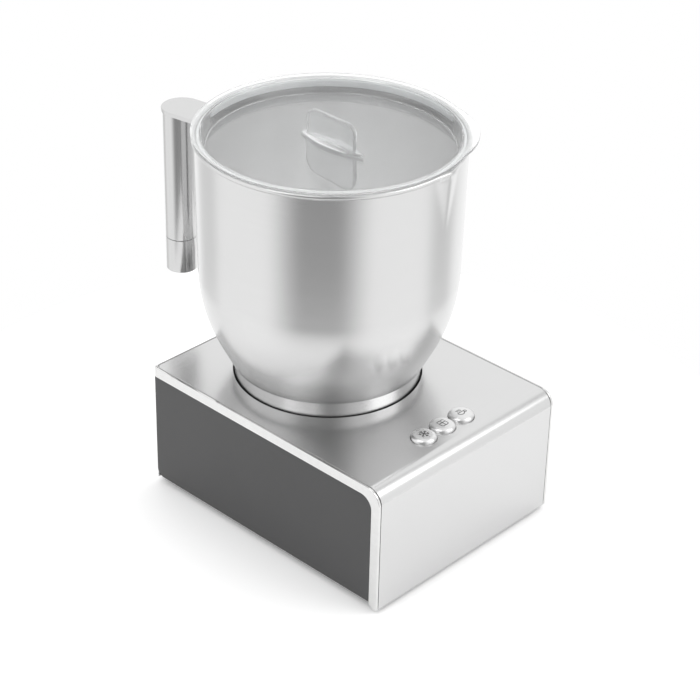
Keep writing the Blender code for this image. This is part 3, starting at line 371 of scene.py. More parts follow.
def metal(name, colour, roughness, cycles, around=False, anisotropy=0.0, bump=0.0, contrast=0.08,
          spread=0.05):
    """Metal whose grain has so many cycles to the metre along each axis, with faint smudges."""
    made, tree, shader = new_material(name)
    place = coordinates(tree, around)
    grain = noise(tree, place, cycles)
    smudge = noise(tree, coordinates(tree), (45, 45, 45), 2.0)
    tone = maths(tree, "ADD", maths(tree, "MULTIPLY", grain, 0.75),
                 maths(tree, "MULTIPLY", smudge, 0.25))
    tree.links.new(blend(tree, between(tree, tone, 0, 1), shaded(colour, 1 - contrast),
                         shaded(colour, 1 + contrast / 2)), shader.inputs["Base Color"])
    tree.links.new(between(tree, tone, roughness - spread, roughness + spread),
                   shader.inputs["Roughness"])
    shader.inputs["Metallic"].default_value = 1.0
    if anisotropy:
        shader.inputs["Anisotropic"].default_value = anisotropy
        shader.inputs["Anisotropic Rotation"].default_value = 0.25
        tangent = add(tree, "ShaderNodeTangent", direction_type="RADIAL", axis="Z")
        tree.links.new(tangent.outputs[0], shader.inputs["Tangent"])
    if bump:
        bumped(tree, shader, grain, bump)
    return made


def plastic(name, colour, roughness, grain_cycles, bump, contrast=0.12, spread=0.06):
    """Moulded plastic or rubber with a fine surface grain and slight tone changes."""
    made, tree, shader = new_material(name)
    place = coordinates(tree)
    grain = noise(tree, place, (grain_cycles,) * 3, 2.0)
    cloud = noise(tree, place, (30, 30, 30), 3.0)
    tree.links.new(blend(tree, between(tree, cloud, 0, 1), shaded(colour, 1 - contrast),
                         shaded(colour, 1 + contrast)), shader.inputs["Base Color"])
    tree.links.new(between(tree, grain, roughness - spread, roughness + spread),
                   shader.inputs["Roughness"])
    bumped(tree, shader, grain, bump)
    return made


def clear_plastic(name, tint, roughness, clarity):
    """Clear, slightly milky moulded plastic. Light passes through to what lies behind it."""
    made, tree, shader = new_material(name)
    cloud = noise(tree, coordinates(tree), (60, 60, 60), 2.0)
    tree.links.new(between(tree, cloud, roughness * 0.5, roughness * 1.5),
                   shader.inputs["Roughness"])
    tree.links.new(blend(tree, cloud, shaded(tint, 0.98), tint), shader.inputs["Base Color"])
    shader.inputs["Transmission Weight"].default_value = clarity
    shader.inputs["IOR"].default_value = 1.49
    path = add(tree, "ShaderNodeLightPath")
    passing = add(tree, "ShaderNodeBsdfTransparent", {"Color": (0.93, 0.94, 0.94, 1.0)})
    mixed = add(tree, "ShaderNodeMixShader", {0: path.outputs["Is Shadow Ray"],
                                              1: shader.outputs[0], 2: passing.outputs[0]})
    tree.links.new(mixed.outputs[0], tree.nodes["Material Output"].inputs["Surface"])
    return made


def wound_copper(name, colour, pitch):
    """Flat winding: enamelled turns side by side round the jug's axis."""
    made, tree, shader = new_material(name)
    place = coordinates(tree, around=True)
    radius = add(tree, "ShaderNodeSeparateXYZ", {0: place}).outputs["Y"]
    wave = maths(tree, "SINE", maths(tree, "MULTIPLY", radius, 2 * math.pi / pitch))
    turns = between(tree, wave, 0, 1, -1.0, 1.0)
    tree.links.new(blend(tree, turns, shaded(colour, 0.45), colour), shader.inputs["Base Color"])
    grain = noise(tree, place, (900, 400, 900))
    tree.links.new(between(tree, grain, 0.28, 0.42), shader.inputs["Roughness"])
    shader.inputs["Metallic"].default_value = 1.0
    bumped(tree, shader, turns, 0.0002)
    return made


def circuit_board(name, mask, copper):
    """Solder mask over copper tracks, with a few tinned pads."""
    made, tree, shader = new_material(name)
    place = coordinates(tree)
    cells = add(tree, "ShaderNodeTexBrick", {"Vector": place, "Scale": 60.0, "Mortar Size": 0.06,
                                             "Color1": (1, 1, 1, 1), "Color2": (0.8, 0.8, 0.8, 1),
                                             "Mortar": (0, 0, 0, 1)})
    tracks = cells.outputs["Fac"]
    base = blend(tree, tracks, mask, copper)
    cloud = noise(tree, place, (300, 300, 300))
    tree.links.new(blend(tree, cloud, base, shaded(mask, 0.7)), shader.inputs["Base Color"])
    tree.links.new(between(tree, cloud, 0.3, 0.5), shader.inputs["Roughness"])
    bumped(tree, shader, tracks, 0.00004)
    return made


JUG_STEEL = metal("jug_brushed_steel", (0.637, 0.637, 0.637), 0.24, (9, 400, 1400), around=True,
                  anisotropy=0.75, contrast=0.02, spread=0.015)
BASE_STEEL = metal("base_satin_steel", (0.625, 0.625, 0.625), 0.24, (60, 1400, 1400),
                   contrast=0.02, spread=0.015)
POLISHED = metal("polished_steel", (0.72, 0.72, 0.715), 0.09, (400, 400, 400), spread=0.03,
                 contrast=0.04)
BAR_STEEL = metal("handle_satin_steel", (0.59, 0.59, 0.59), 0.16, (1400, 1400, 20),
                  contrast=0.03, spread=0.02)
CAP_STEEL = metal("button_satin_steel", (0.72, 0.72, 0.72), 0.3, (900, 900, 900), contrast=0.03)
ZINC = metal("zinc_steel", (0.52, 0.52, 0.53), 0.3, (700, 700, 700), contrast=0.2)
ALUMINIUM = metal("satin_aluminium", (0.72, 0.73, 0.74), 0.36, (1800, 1800, 300), bump=0.000004)
MAGNET = metal("nickel_plate", (0.56, 0.55, 0.53), 0.2, (300, 300, 300))
FERRITE = plastic("sintered_ferrite", (0.05, 0.05, 0.055), 0.55, 2500, 0.00002, contrast=0.3)
PANEL = plastic("panel_grey", (0.042, 0.042, 0.043), 0.33, 3500, 0.000004, contrast=0.05)
BLACK = plastic("moulded_black", (0.022, 0.022, 0.024), 0.45, 3000, 0.000012)
RUBBER = plastic("foot_rubber", (0.03, 0.03, 0.03), 0.75, 2200, 0.00003)
SILICONE = plastic("milky_silicone", (0.72, 0.73, 0.74), 0.4, 1500, 0.000006, contrast=0.04)
PRINT = plastic("symbol_print", (0.018, 0.018, 0.02), 0.4, 4000, 0.000002)
SLEEVE = plastic("capacitor_sleeve", (0.03, 0.035, 0.06), 0.3, 1200, 0.000008)
CLEAR = clear_plastic("clear_lid_plastic", (0.9, 0.905, 0.905), 0.03, 0.86)
COPPER = wound_copper("wound_copper", (0.75, 0.36, 0.18), 0.0011)
BOARD = circuit_board("solder_mask", (0.02, 0.13, 0.06), (0.05, 0.22, 0.09))


def piece(obj, finish, slot, body, *stands_for, smooth=35, weighted=False):
    """A finished piece: its material, the body it rides on, the nodes it replaces. The slot argument is
    not used.
    """
    obj.data.materials.clear()
    obj.data.materials.append(finish)
    obj.data.shade_smooth()
    obj.data.set_sharp_from_angle(angle=math.radians(smooth))
    if weighted:
        normals = obj.modifiers.new("normals", "WEIGHTED_NORMAL")
        normals.keep_sharp = True
    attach(obj, body)
    if stands_for:
        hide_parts(*stands_for)
    return obj


# ------------------------------------------------------------------ base
def button_places():
    """Name, centre (x, y), radius and crown height of each button, from its CAD node."""
    made = []
    for name in ("left", "middle", "right"):
        low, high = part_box(f"button_{name}")
        made.append((name, middle(low, high), (high.x - low.x) / 2, low.z, high.z))
    return made


def hole_cutter(name, radius, centre, steps):
    """Straight hole through the steel top, with a broken upper edge."""
    low, high = TOP_Z - 5 * SHEET, TOP_Z + SHEET
    edge_z = TOP_Z - HOLE_EDGE
    flare = radius + HOLE_EDGE + SHEET
    profile = [(0, low), (radius, low), (radius, edge_z), (flare, high), (0, high)]
    return turned(name, profile, steps=steps, centre=centre)


def back_edge_cutter(name, side):
    """Rounds the base's upright edge at the back on one side, -1 or 1."""
    radius = BACK_CORNER_RADIUS
    edge = [(side * u, v) for u, v in arc((0, 0), radius, 0, 90, BEND_STEPS)]
    outline = edge + [(0, 2 * radius), (side * 2 * radius, 2 * radius), (side * 2 * radius, 0)]
    centre = (side * (SIDE_X - radius), BACK_Y - radius)
    return prism(name, outline, -SHEET, TOP_Z + SHEET, centre=centre)


def seam_line(inset):
    """Across the steel top behind the jug, inset from the back edge and its round corners."""
    radius = BACK_CORNER_RADIUS - inset
    x, y = SIDE_X - BACK_CORNER_RADIUS, BACK_Y - BACK_CORNER_RADIUS
    return (arc((x, y), radius, 0, 90, BEND_STEPS) + arc((-x, y), radius, 90, 180, BEND_STEPS))


def make_housing():
    back, top = BACK_Y - SHEET, TOP_Z - SHEET
    outside = [(FRONT_Y, SHELL_Z)] + front_bend(0, BEND_RADIUS) + back_bend()
    inside = [(back, SHELL_Z), (back, top)] + front_bend(SHEET, BEND_RADIUS - SHEET)[::-1]
    outline = outside + [(BACK_Y, SHELL_Z)] + inside + [(FRONT_Y + SHEET, SHELL_Z)]
    shell = prism("housing_shell", outline, -SHEET_HALF, SHEET_HALF, 0.00025, "X")
    cutters = [hole_cutter("cut_well", WELL_RADIUS, (0, JUG_Y), ROUND)]
    for name, centre, radius, _, _ in button_places():
        cutters.append(hole_cutter(f"cut_{name}", radius + BUTTON_GAP, centre, SMALL_ROUND))
    gland_x, gland_z = (gland_low.x + gland_high.x) / 2, (gland_low.z + gland_high.z) / 2
    hole = turned("cut_gland", [(0, -0.003), (GLAND_NECK + 0.0002, -0.003),
                                (GLAND_NECK + 0.0002, 0.003), (0, 0.003)])
    cutters.append(turn(hole, Matrix.Translation((gland_x, BACK_Y, gland_z))
                        @ Matrix.Rotation(math.pi / 2, 4, "X")))
    cutters += [back_edge_cutter("cut_back_left", -1), back_edge_cutter("cut_back_right", 1)]
    seam = seam_line(SEAM_INSET) + seam_line(SEAM_INSET + SEAM_WIDTH)[::-1]
    cutters.append(prism("cut_seam", seam, TOP_Z - SEAM_DEPTH, TOP_Z + SHEET))
    cut(shell, *cutters)
    piece(shell, BASE_STEEL, "brushed_steel", "base", "steel_housing", smooth=28, weighted=True)


def make_sides():
    """Polished strip down the front edge and along the top, with the dark panel inside it."""
    inner = FRONT_Y + TRIM_WIDTH
    end = arc((inner - TRIM_END_RADIUS, SHELL_Z + TRIM_END_RADIUS), TRIM_END_RADIUS, 0, -90, 12)
    strip = ([(FRONT_Y, SHELL_Z)] + front_bend(0, BEND_RADIUS) + back_bend()
             + [(BACK_Y, TOP_Z - TRIM_WIDTH)] + front_bend(TRIM_WIDTH, TRIM_INNER_RADIUS)[::-1] + end)
    low, back = panel_low.z, panel_high.y
    lower_back = arc((back - PANEL_CORNER, low + PANEL_CORNER), PANEL_CORNER, 0, -90, 12)
    sheet = ([(inner + PIECE_GAP, low)]
             + front_bend(TRIM_WIDTH + PIECE_GAP, TRIM_INNER_RADIUS - PIECE_GAP)
             + [(back, TOP_Z - TRIM_WIDTH - PIECE_GAP)] + lower_back)
    for side, name in ((-1, "left"), (1, "right")):
        trim_faces = sorted((side * trim_low.x, side * trim_high.x))
        trim = prism(f"trim_strip_{name}", strip, *trim_faces, 0.00025, "X")
        cut(trim, back_edge_cutter("cut_back", side))
        piece(trim, POLISHED, "polished_steel", "base", f"side_trim_{name}", weighted=True)
        panel_faces = sorted((side * panel_low.x, side * panel_high.x))
        panel = prism(f"panel_sheet_{name}", sheet, *panel_faces, 0.0003, "X")
        piece(panel, PANEL, "dark_panel", "base", f"side_panel_{name}", weighted=True)


def make_feet():
    for i in range(1, 5):
        low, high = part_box(f"foot_{i}")
        radius = (high.x - low.x) / 2
        profile = [(0, high.z), (radius, high.z, 0.0002), (radius, low.z, 0.0005),
                   (radius * 0.7, low.z, 0.0003), (radius * 0.62, low.z + 0.0004, 0.0003),
                   (0, low.z + 0.0004)]
        foot = turned(f"rubber_foot_{i}", rounded(profile), centre=middle(low, high))
        piece(foot, RUBBER, "rubber", "base", f"foot_{i}")


def make_screws():
    """Cross-slotted screws, heads down."""
    names = [f"base_screw_{i}" for i in range(1, 5)] + ["board_screw_1", "board_screw_2"]
    for name in names:
        low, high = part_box(name)
        (x, y), head = middle(low, high), (high.x - low.x) / 2
        shank = head * 0.46
        neck = low.z + head * 0.4
        profile = [(0, high.z), (shank, high.z, 0.0003), (shank, neck), (head, neck, 0.0001),
                   (head, low.z, 0.0005), (0, low.z)]
        screw = turned(name + "_fine", rounded(profile), centre=(x, y), steps=40)
        slots = []
        for along, across in ((head * 0.62, SCREW_SLOT / 2), (SCREW_SLOT / 2, head * 0.62)):
            slots.append(block("cut_slot", (x - along, y - across, low.z - SHEET),
                               (x + along, y + across, low.z + SCREW_SLOT)))
        cut(screw, *slots)
        piece(screw, ZINC, "steel", "base", name)


def make_gland():
    """Turned about Y: flanges on both sides of the steel back, and a ribbed outlet."""
    bore = 0.0036
    x, z = (gland_low.x + gland_high.x) / 2, (gland_low.z + gland_high.z) / 2
    flange = (gland_high.x - gland_low.x) / 2
    outlet, inner = gland_high.y - BACK_Y, gland_low.y - BACK_Y
    flange_top = 0.0023
    pitch = (outlet - flange_top - 0.001) / GLAND_RIBS
    ribs = []
    for i in range(GLAND_RIBS):
        top = outlet - 0.0008 - i * pitch
        ribs += [(GLAND_NECK, top, 0.0002), (GLAND_NECK, top - pitch * 0.55, 0.0002),
                 (GLAND_NECK - 0.0006, top - pitch * 0.65, 0.0002),
                 (GLAND_NECK - 0.0006, top - pitch * 0.9, 0.0002)]
    profile = [(bore, outlet, 0.0003), (GLAND_NECK - 0.0006, outlet, 0.0003)] + ribs
    profile += [(GLAND_NECK - 0.0006, flange_top, 0.0002), (flange, flange_top, 0.0006),
                (flange, PIECE_GAP), (GLAND_NECK, PIECE_GAP), (GLAND_NECK, -SHEET - PIECE_GAP),
                (flange, -SHEET - PIECE_GAP), (flange, inner, 0.0004), (bore, inner, 0.0003)]
    gland = turned("cord_outlet_gland", rounded(profile, closed=True), closed=True)
    turn(gland, Matrix.Translation((x, BACK_Y, z)) @ Matrix.Rotation(-math.pi / 2, 4, "X"))
    piece(gland, BLACK, "black_plastic", "base", "cord_gland")


def make_well():
    """Inner frame: plate with the button window, the jug's well and six posts."""
    floor = TOP_Z - WELL_DEPTH
    under = floor - WELL_FLOOR
    outer = WELL_RADIUS + WELL_WALL
    plate_low, plate_high = TOP_Z - SHEET - PIECE_GAP - 0.002, TOP_Z - SHEET - PIECE_GAP
    plate = block("frame_and_well", (frame_low.x, frame_low.y, plate_low),
                  (frame_high.x, frame_high.y, plate_high))
    well = turned("add_well", rounded([(0, floor), (WELL_RADIUS, floor, 0.0004),
                                       (WELL_RADIUS, plate_high), (outer, plate_high),
                                       (outer, under, 0.0004), (0, under)]),
                  steps=ROUND, centre=(0, JUG_Y))
    hole = turned("cut_frame_well", [(0, plate_low - SHEET), (outer - WELL_WALL / 2, plate_low - SHEET),
                                     (outer - WELL_WALL / 2, TOP_Z), (0, TOP_Z)],
                  steps=ROUND, centre=(0, JUG_Y))
    places = button_places()
    reach = places[2][1][0] + places[2][2] + 0.0024
    deep = places[0][2] + 0.0024
    y = places[0][1][1]
    window = block("cut_window", (-reach, y - deep, plate_low - SHEET),
                   (reach, y + deep, plate_high + SHEET))
    cut(plate, hole, window)
    posts = []
    for i in range(1, 5):
        low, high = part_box(f"base_screw_{i}")
        posts.append(post(f"add_post_{i}", middle(low, high), 0.0035, frame_low.z, high.z + 0.0006,
                          plate_low + SHEET))
    for i in (1, 2):
        low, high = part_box(f"board_screw_{i}")
        board_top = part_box("button_board")[1].z
        posts.append(post(f"add_board_post_{i}", middle(low, high), 0.0026, board_top + PIECE_GAP,
                          high.z + PIECE_GAP, plate_low + SHEET))
    join(plate, well, *posts)
    low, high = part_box("sensor_plunger")
    sensor_y = (low.y + high.y) / 2
    cut(plate, turned("cut_sensor", [(0, under - SHEET), (0.0033, under - SHEET),
                                     (0.0033, floor + SHEET), (0, floor + SHEET)],
                      centre=(0, sensor_y)))
    piece(plate, BLACK, "black_plastic", "base", "inner_frame", smooth=30, weighted=True)


def post(name, centre, radius, low, bore_top, high):
    """Screw post: a round post with a blind hole from below."""
    bore = 0.00155
    return turned(name, [(0, high), (radius, high), (radius, low), (bore, low), (bore, bore_top),
                         (0, bore_top)], centre=centre, steps=40)


def make_sensor():
    low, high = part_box("sensor_plunger")
    collar = (high.x - low.x) / 2
    collar_top = TOP_Z - WELL_DEPTH - WELL_FLOOR - PIECE_GAP
    head, stem = collar - 0.0009, 0.0012
    profile = [(0, high.z - 0.0001), (head * 0.6, high.z, 0.001), (head, high.z, 0.0005),
               (head, collar_top, 0.0001), (collar, collar_top, 0.0002),
               (collar, collar_top - 0.001, 0.0002), (stem, collar_top - 0.001, 0.0001),
               (stem, low.z, 0.0002), (0, low.z)]
    sensor = turned("sensor_pin", rounded(profile), centre=(0, (low.y + high.y) / 2))
    piece(sensor, ALUMINIUM, "aluminium", "sensor", "sensor_plunger")


# ------------------------------------------------------------------ buttons
def crown_height(share, edge_z, top_z):
    """Height of a button's crown at a share of its radius: nearly flat, then a sloping edge."""
    flat = 0.74
    drop = top_z - edge_z
    if share <= flat:
        return top_z - 0.18 * drop * (share / flat) ** 2
    return edge_z + 0.82 * drop * (1 - ((share - flat) / (1 - flat)) ** 1.6)


def make_buttons():
    for name, centre, radius, low_z, top_z in button_places():
        edge_z = TOP_Z + 0.0008
        shares = [i / 16 for i in range(17)]
        crown = [(radius * s, crown_height(s, edge_z, top_z)) for s in shares]
        skirt_z = TOP_Z - 0.0045
        stem = 0.002
        profile = crown + rounded([(radius, edge_z), (radius, skirt_z, 0.0003), (stem, skirt_z, 0.0002),
                                   (stem, low_z, 0.0002), (0, low_z)])[1:]
        cap = turned(f"button_cap_{name}", profile, centre=centre)
        low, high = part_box(f"button_{name}")
        lug_top = TOP_Z - SHEET - PIECE_GAP
        join(cap, block("add_lug", (centre[0] - 0.0026, low.y, lug_top - 0.001),
                        (centre[0] + 0.0026, high.y, lug_top)))
        piece(cap, CAP_STEEL, "polished_steel", f"button_{name}", f"button_{name}", smooth=50)
        marks = symbol(f"button_symbol_{name}", SYMBOLS[name], centre,
                       lambda r: crown_height(r / radius, edge_z, top_z))
        piece(marks, PRINT, "black_plastic", f"button_{name}")


def straight(first, last, count=8):
    return [tuple(Vector(first).lerp(Vector(last), i / count)) for i in range(count + 1)]


def snow_strokes():
    """Cold froth: six arms, each with a small fork."""
    strokes = []
    for i in range(6):
        angle = math.radians(60 * i + 30)
        along = Vector((math.cos(angle), math.sin(angle)))
        strokes.append(straight((0, 0), along * 0.0025))
        for bend in (-0.8, 0.8):
            side = Vector((math.cos(angle + bend), math.sin(angle + bend)))
            strokes.append(straight(along * 0.0014, along * 0.0014 + side * 0.0009, 4))
    return strokes


def cup_strokes():
    """Warm milk: a square cup with a level line and a middle line."""
    half, top, corner = 0.0019, 0.0019, 0.0009
    side = rounded([(-half, top), (-half, -top, corner), (half, -top, corner), (half, top)], steps=6)
    return [side, straight((-half, top), (half, top)), straight((-half, 0.0003), (half, 0.0003)),
            straight((0, top), (0, -top))]


def steam_strokes():
    """Hot froth: a round cup with a ring handle and three wisps of steam."""
    bowl_line = arc((-0.0003, 0.0003), 0.0018, 180, 360, 16)
    wisps = [[(x + 0.00025 * math.sin(4 * t), 0.0009 + 0.0015 * t) for t in
              [i / 8 for i in range(9)]] for x in (-0.0012, -0.0003, 0.0006)]
    return [bowl_line, straight((-0.0021, 0.0003), (0.0015, 0.0003)),
            arc((0.0020, -0.0003), 0.0006, 0, 360, 24)] + wisps


SYMBOLS = {"left": snow_strokes(), "middle": cup_strokes(), "right": steam_strokes()}


def symbol(name, strokes, centre, height, width=0.00034, thickness=0.00003):
    """Thin printed strokes that follow the crown's height at each distance from its centre."""
    work = bmesh.new()
    for line in strokes:
        last = len(line) - 1
        rows = []
        for i, point in enumerate(line):
            here = Vector(point)
            along = (Vector(line[min(i + 1, last)]) - Vector(line[max(i - 1, 0)])).normalized()
            across = Vector((-along.y, along.x)) * width / 2 * (0.55 if i in (0, last) else 1.0)
            row = []
            for side in (1, -1):
                flat = here + across * side
                top = height(flat.length)
                for z in (top + thickness, top - thickness):
                    row.append(work.verts.new((centre[0] + flat.x, centre[1] + flat.y, z)))
            rows.append([row[0], row[1], row[3], row[2]])
        for near, far in zip(rows, rows[1:]):
            for k in range(4):
                work.faces.new([near[k], near[(k + 1) % 4], far[(k + 1) % 4], far[k]])
        work.faces.new(rows[0])
        work.faces.new(rows[-1])
    return object_from(name, work)


# ------------------------------------------------------------------ jug
def bowl(offset, count=26):
    """Side of the bowl from the crease up to the straight wall, moved inwards by offset."""
    centre_r = SHOULDER_RADIUS - BOWL_ARC
    start_r = FOOT_BAND_RADIUS + BOWL_START
    tangent_r = centre_r + BOWL_ARC * math.cos(FLARE_ANGLE)
    crease_z = JUG_Z + FOOT_BAND_HEIGHT
    tangent_z = crease_z + (tangent_r - start_r) / math.tan(FLARE_ANGLE)
    centre_z = tangent_z + BOWL_ARC * math.sin(FLARE_ANGLE)
    points = arc((centre_r, centre_z), BOWL_ARC - offset, -math.degrees(FLARE_ANGLE), 0, count)
    return (start_r - offset / math.cos(FLARE_ANGLE), crease_z), points


def wall_radius(height):
    """Outer radius of the straight wall between the bowl and the rim."""
    shoulder_z = bowl(0)[1][-1][1]
    share = (RIM_Z - height) / (RIM_Z - shoulder_z)
    return JUG_RADIUS + (SHOULDER_RADIUS - JUG_RADIUS) * share


def spout(angle, radius, height):
    """How far the wall is pushed out for the pouring crease, opposite the handle."""
    away = abs((angle - JUG_TURN + math.pi / 2 + math.pi) % (2 * math.pi) - math.pi)
    depth = (RIM_Z - height) / SPOUT_DROP
    if depth >= 1 or radius < JUG_RADIUS / 2:
        return 0.0
    width = SPOUT_HALF_ANGLE * (1 - depth)
    return SPOUT_REACH * (1 - depth) * max(0.0, 1 - away / width)


def make_jug():
    floor = JUG_Z + FOOT_RING_HEIGHT + FLOOR_THICKNESS
    under = JUG_Z + FOOT_RING_HEIGHT
    bead = arc((JUG_RADIUS, RIM_Z - BEAD_RADIUS), BEAD_RADIUS, 150, -60, 14)
    band_in = FOOT_BAND_RADIUS - JUG_WALL
    band_top = JUG_Z + FOOT_BAND_HEIGHT
    foot_in, bowl_in = bowl(JUG_WALL)
    foot_out, bowl_out = bowl(0)
    drops = [RIM_Z - SPOUT_DROP * i / 12 for i in range(1, 13)]
    inside = rounded([(0, floor), (band_in, floor, 0.0016), (band_in, foot_in[1] - 0.0006, 0.0004),
                      (foot_in[0], foot_in[1] + 0.0006, 0.0004), bowl_in[0]])
    outside = rounded([bowl_out[0], (foot_out[0], foot_out[1], 0.0004),
                       (FOOT_BAND_RADIUS, band_top - 0.0004, 0.0004),
                       (FOOT_BAND_RADIUS, JUG_Z, 0.0005),
                       (FOOT_BAND_RADIUS - FOOT_RING_WIDTH, JUG_Z, 0.0004),
                       (FOOT_BAND_RADIUS - FOOT_RING_WIDTH - 0.0006, under, 0.0003), (0, under)])
    wall_in = [(wall_radius(z) - JUG_WALL, z) for z in reversed(drops)]
    wall_out = [(wall_radius(z), z) for z in drops]
    profile = inside + bowl_in[1:] + wall_in + bead + wall_out + bowl_out[:0:-1] + outside
    jug = turned("jug_shell", profile, steps=ROUND, centre=(0, JUG_Y), push=spout)
    piece(jug, JUG_STEEL, "brushed_steel", "jug", "jug_body", smooth=38)


def make_handle():
    """Flat arm with a round end on an upright rod, then the separate end cap."""
    top, arm_low = handle_high.z, handle_high.z - ARM_THICKNESS
    half, seat = ARM_WIDTH / 2, wall_radius(handle_high.z) - 0.0001
    reach = math.degrees(math.asin(half / seat))
    root = arc((0, 0), seat, 90 + reach, 90 - reach, 8)
    end = arc((0, HANDLE_REACH - half), half, 0, 180, 40)
    arm = prism("handle_arm_and_rod", root + end, arm_low, top, ARM_EDGE)
    turn(arm, Matrix.Translation((0, JUG_Y, 0)) @ Matrix.Rotation(JUG_TURN, 4, "Z"))
    rod = turned("add_rod", [(0, arm_low + ARM_THICKNESS / 2), (ROD_RADIUS, arm_low + ARM_THICKNESS / 2),
                             (ROD_RADIUS, handle_low.z), (0, handle_low.z)], centre=(ROD_X, ROD_Y))
    join(arm, rod)
    piece(arm, BAR_STEEL, "polished_steel", "jug", "handle", weighted=True)
    profile = rounded([(0, end_high.z), (ROD_RADIUS, end_high.z, 0.0001),
                       (ROD_RADIUS, end_low.z, ROD_EDGE), (0, end_low.z)])
    cap = turned("handle_foot", profile, centre=(ROD_X, ROD_Y))
    piece(cap, BAR_STEEL, "polished_steel", "jug", "handle_end_cap", weighted=True)


# ------------------------------------------------------------------ lid
def lug(angle, radius, height):
    """How far the flange's edge is pushed out for the lifting lug."""
    if radius < FLANGE_RADIUS - 0.0004:
        return 0.0
    away = (angle - LUG_ANGLE + math.pi) % (2 * math.pi) - math.pi
    offset = LUG_REACH - LUG_RADIUS
    across = offset * math.sin(away)
    if abs(away) > math.pi / 2 or abs(across) >= LUG_RADIUS:
        return 0.0
    edge = offset * math.cos(away) + math.sqrt(LUG_RADIUS ** 2 - across ** 2)
    return max(0.0, edge - FLANGE_RADIUS)


def make_lid():
    low = RIM_Z + PIECE_GAP
    top = low + LID_FLANGE
    plug = (seal_high.x - seal_low.x) / 2 - 0.0012 - PIECE_GAP
    floor = lid_low.z + LID_FLOOR
    profile = [(0, floor), (plug - 0.0024, floor, 0.0009), (plug - 0.001, top - 0.0001, 0.0005),
               (FLANGE_RADIUS - 0.0006, top + 0.0003, 0.0004), (FLANGE_RADIUS, top + 0.0003, 0.0003),
               (FLANGE_RADIUS, low, 0.0002), (FLANGE_RADIUS - 0.0006, low),
               (plug, low - 0.0002, 0.0003), (plug, lid_low.z, 0.0006), (0, lid_low.z)]
    lid = turned("clear_lid", rounded(profile, steps=5), steps=ROUND, centre=(0, JUG_Y), push=lug)
    piece(lid, CLEAR, "clear_plastic", "lid", "lid", smooth=40)
    seal_r, seal_in = (seal_high.x - seal_low.x) / 2, (seal_high.x - seal_low.x) / 2 - 0.0012
    lips = []
    for share in (0.0, 0.5):
        z = seal_high.z - share * (seal_high.z - seal_low.z)
        lips += [(seal_r, z - 0.0001, 0.0003), (seal_r, z - 0.0008, 0.0003),
                 (seal_r - 0.0005, z - 0.0010, 0.0002), (seal_r - 0.0005, z - 0.0014, 0.0002)]
    ring = [(seal_in, seal_high.z, 0.0002)] + lips + [(seal_in, seal_low.z, 0.0002)]
    seal = turned("lid_seal_ring", rounded(ring, closed=True), closed=True, steps=ROUND,
                  centre=(0, JUG_Y))
    piece(seal, SILICONE, "silicone", "lid", "lid_seal")
    make_grip()


def make_grip():
    """Upright plate on a lens-shaped foot."""
    length, width = (grip_high.y - grip_low.y) / 2, (grip_high.x - grip_low.x) / 2
    radius = (length ** 2 + width ** 2) / (2 * width)
    half = math.degrees(math.asin(length / radius))
    right = arc((width - radius, 0), radius, -half, half, 24)
    left = arc((radius - width, 0), radius, 180 - half, 180 + half, 24)[1:-1]
    foot_top = grip_low.z + GRIP_FOOT_HEIGHT
    foot = prism("clear_grip", right + left, grip_low.z, foot_top, 0.0003, centre=(0, JUG_Y))
    reach = GRIP_LENGTH / 2
    outline = rounded([(JUG_Y - reach, foot_top - 0.0004), (JUG_Y - reach, grip_high.z, GRIP_CORNER),
                       (JUG_Y + reach, grip_high.z, GRIP_CORNER), (JUG_Y + reach, foot_top - 0.0004)],
                      steps=12)
    plate = prism("add_plate", outline, -GRIP_THICKNESS / 2, GRIP_THICKNESS / 2, 0.0004, "X")
    join(foot, plate)
    piece(foot, CLEAR, "clear_plastic", "lid", "lid_grip", smooth=40)


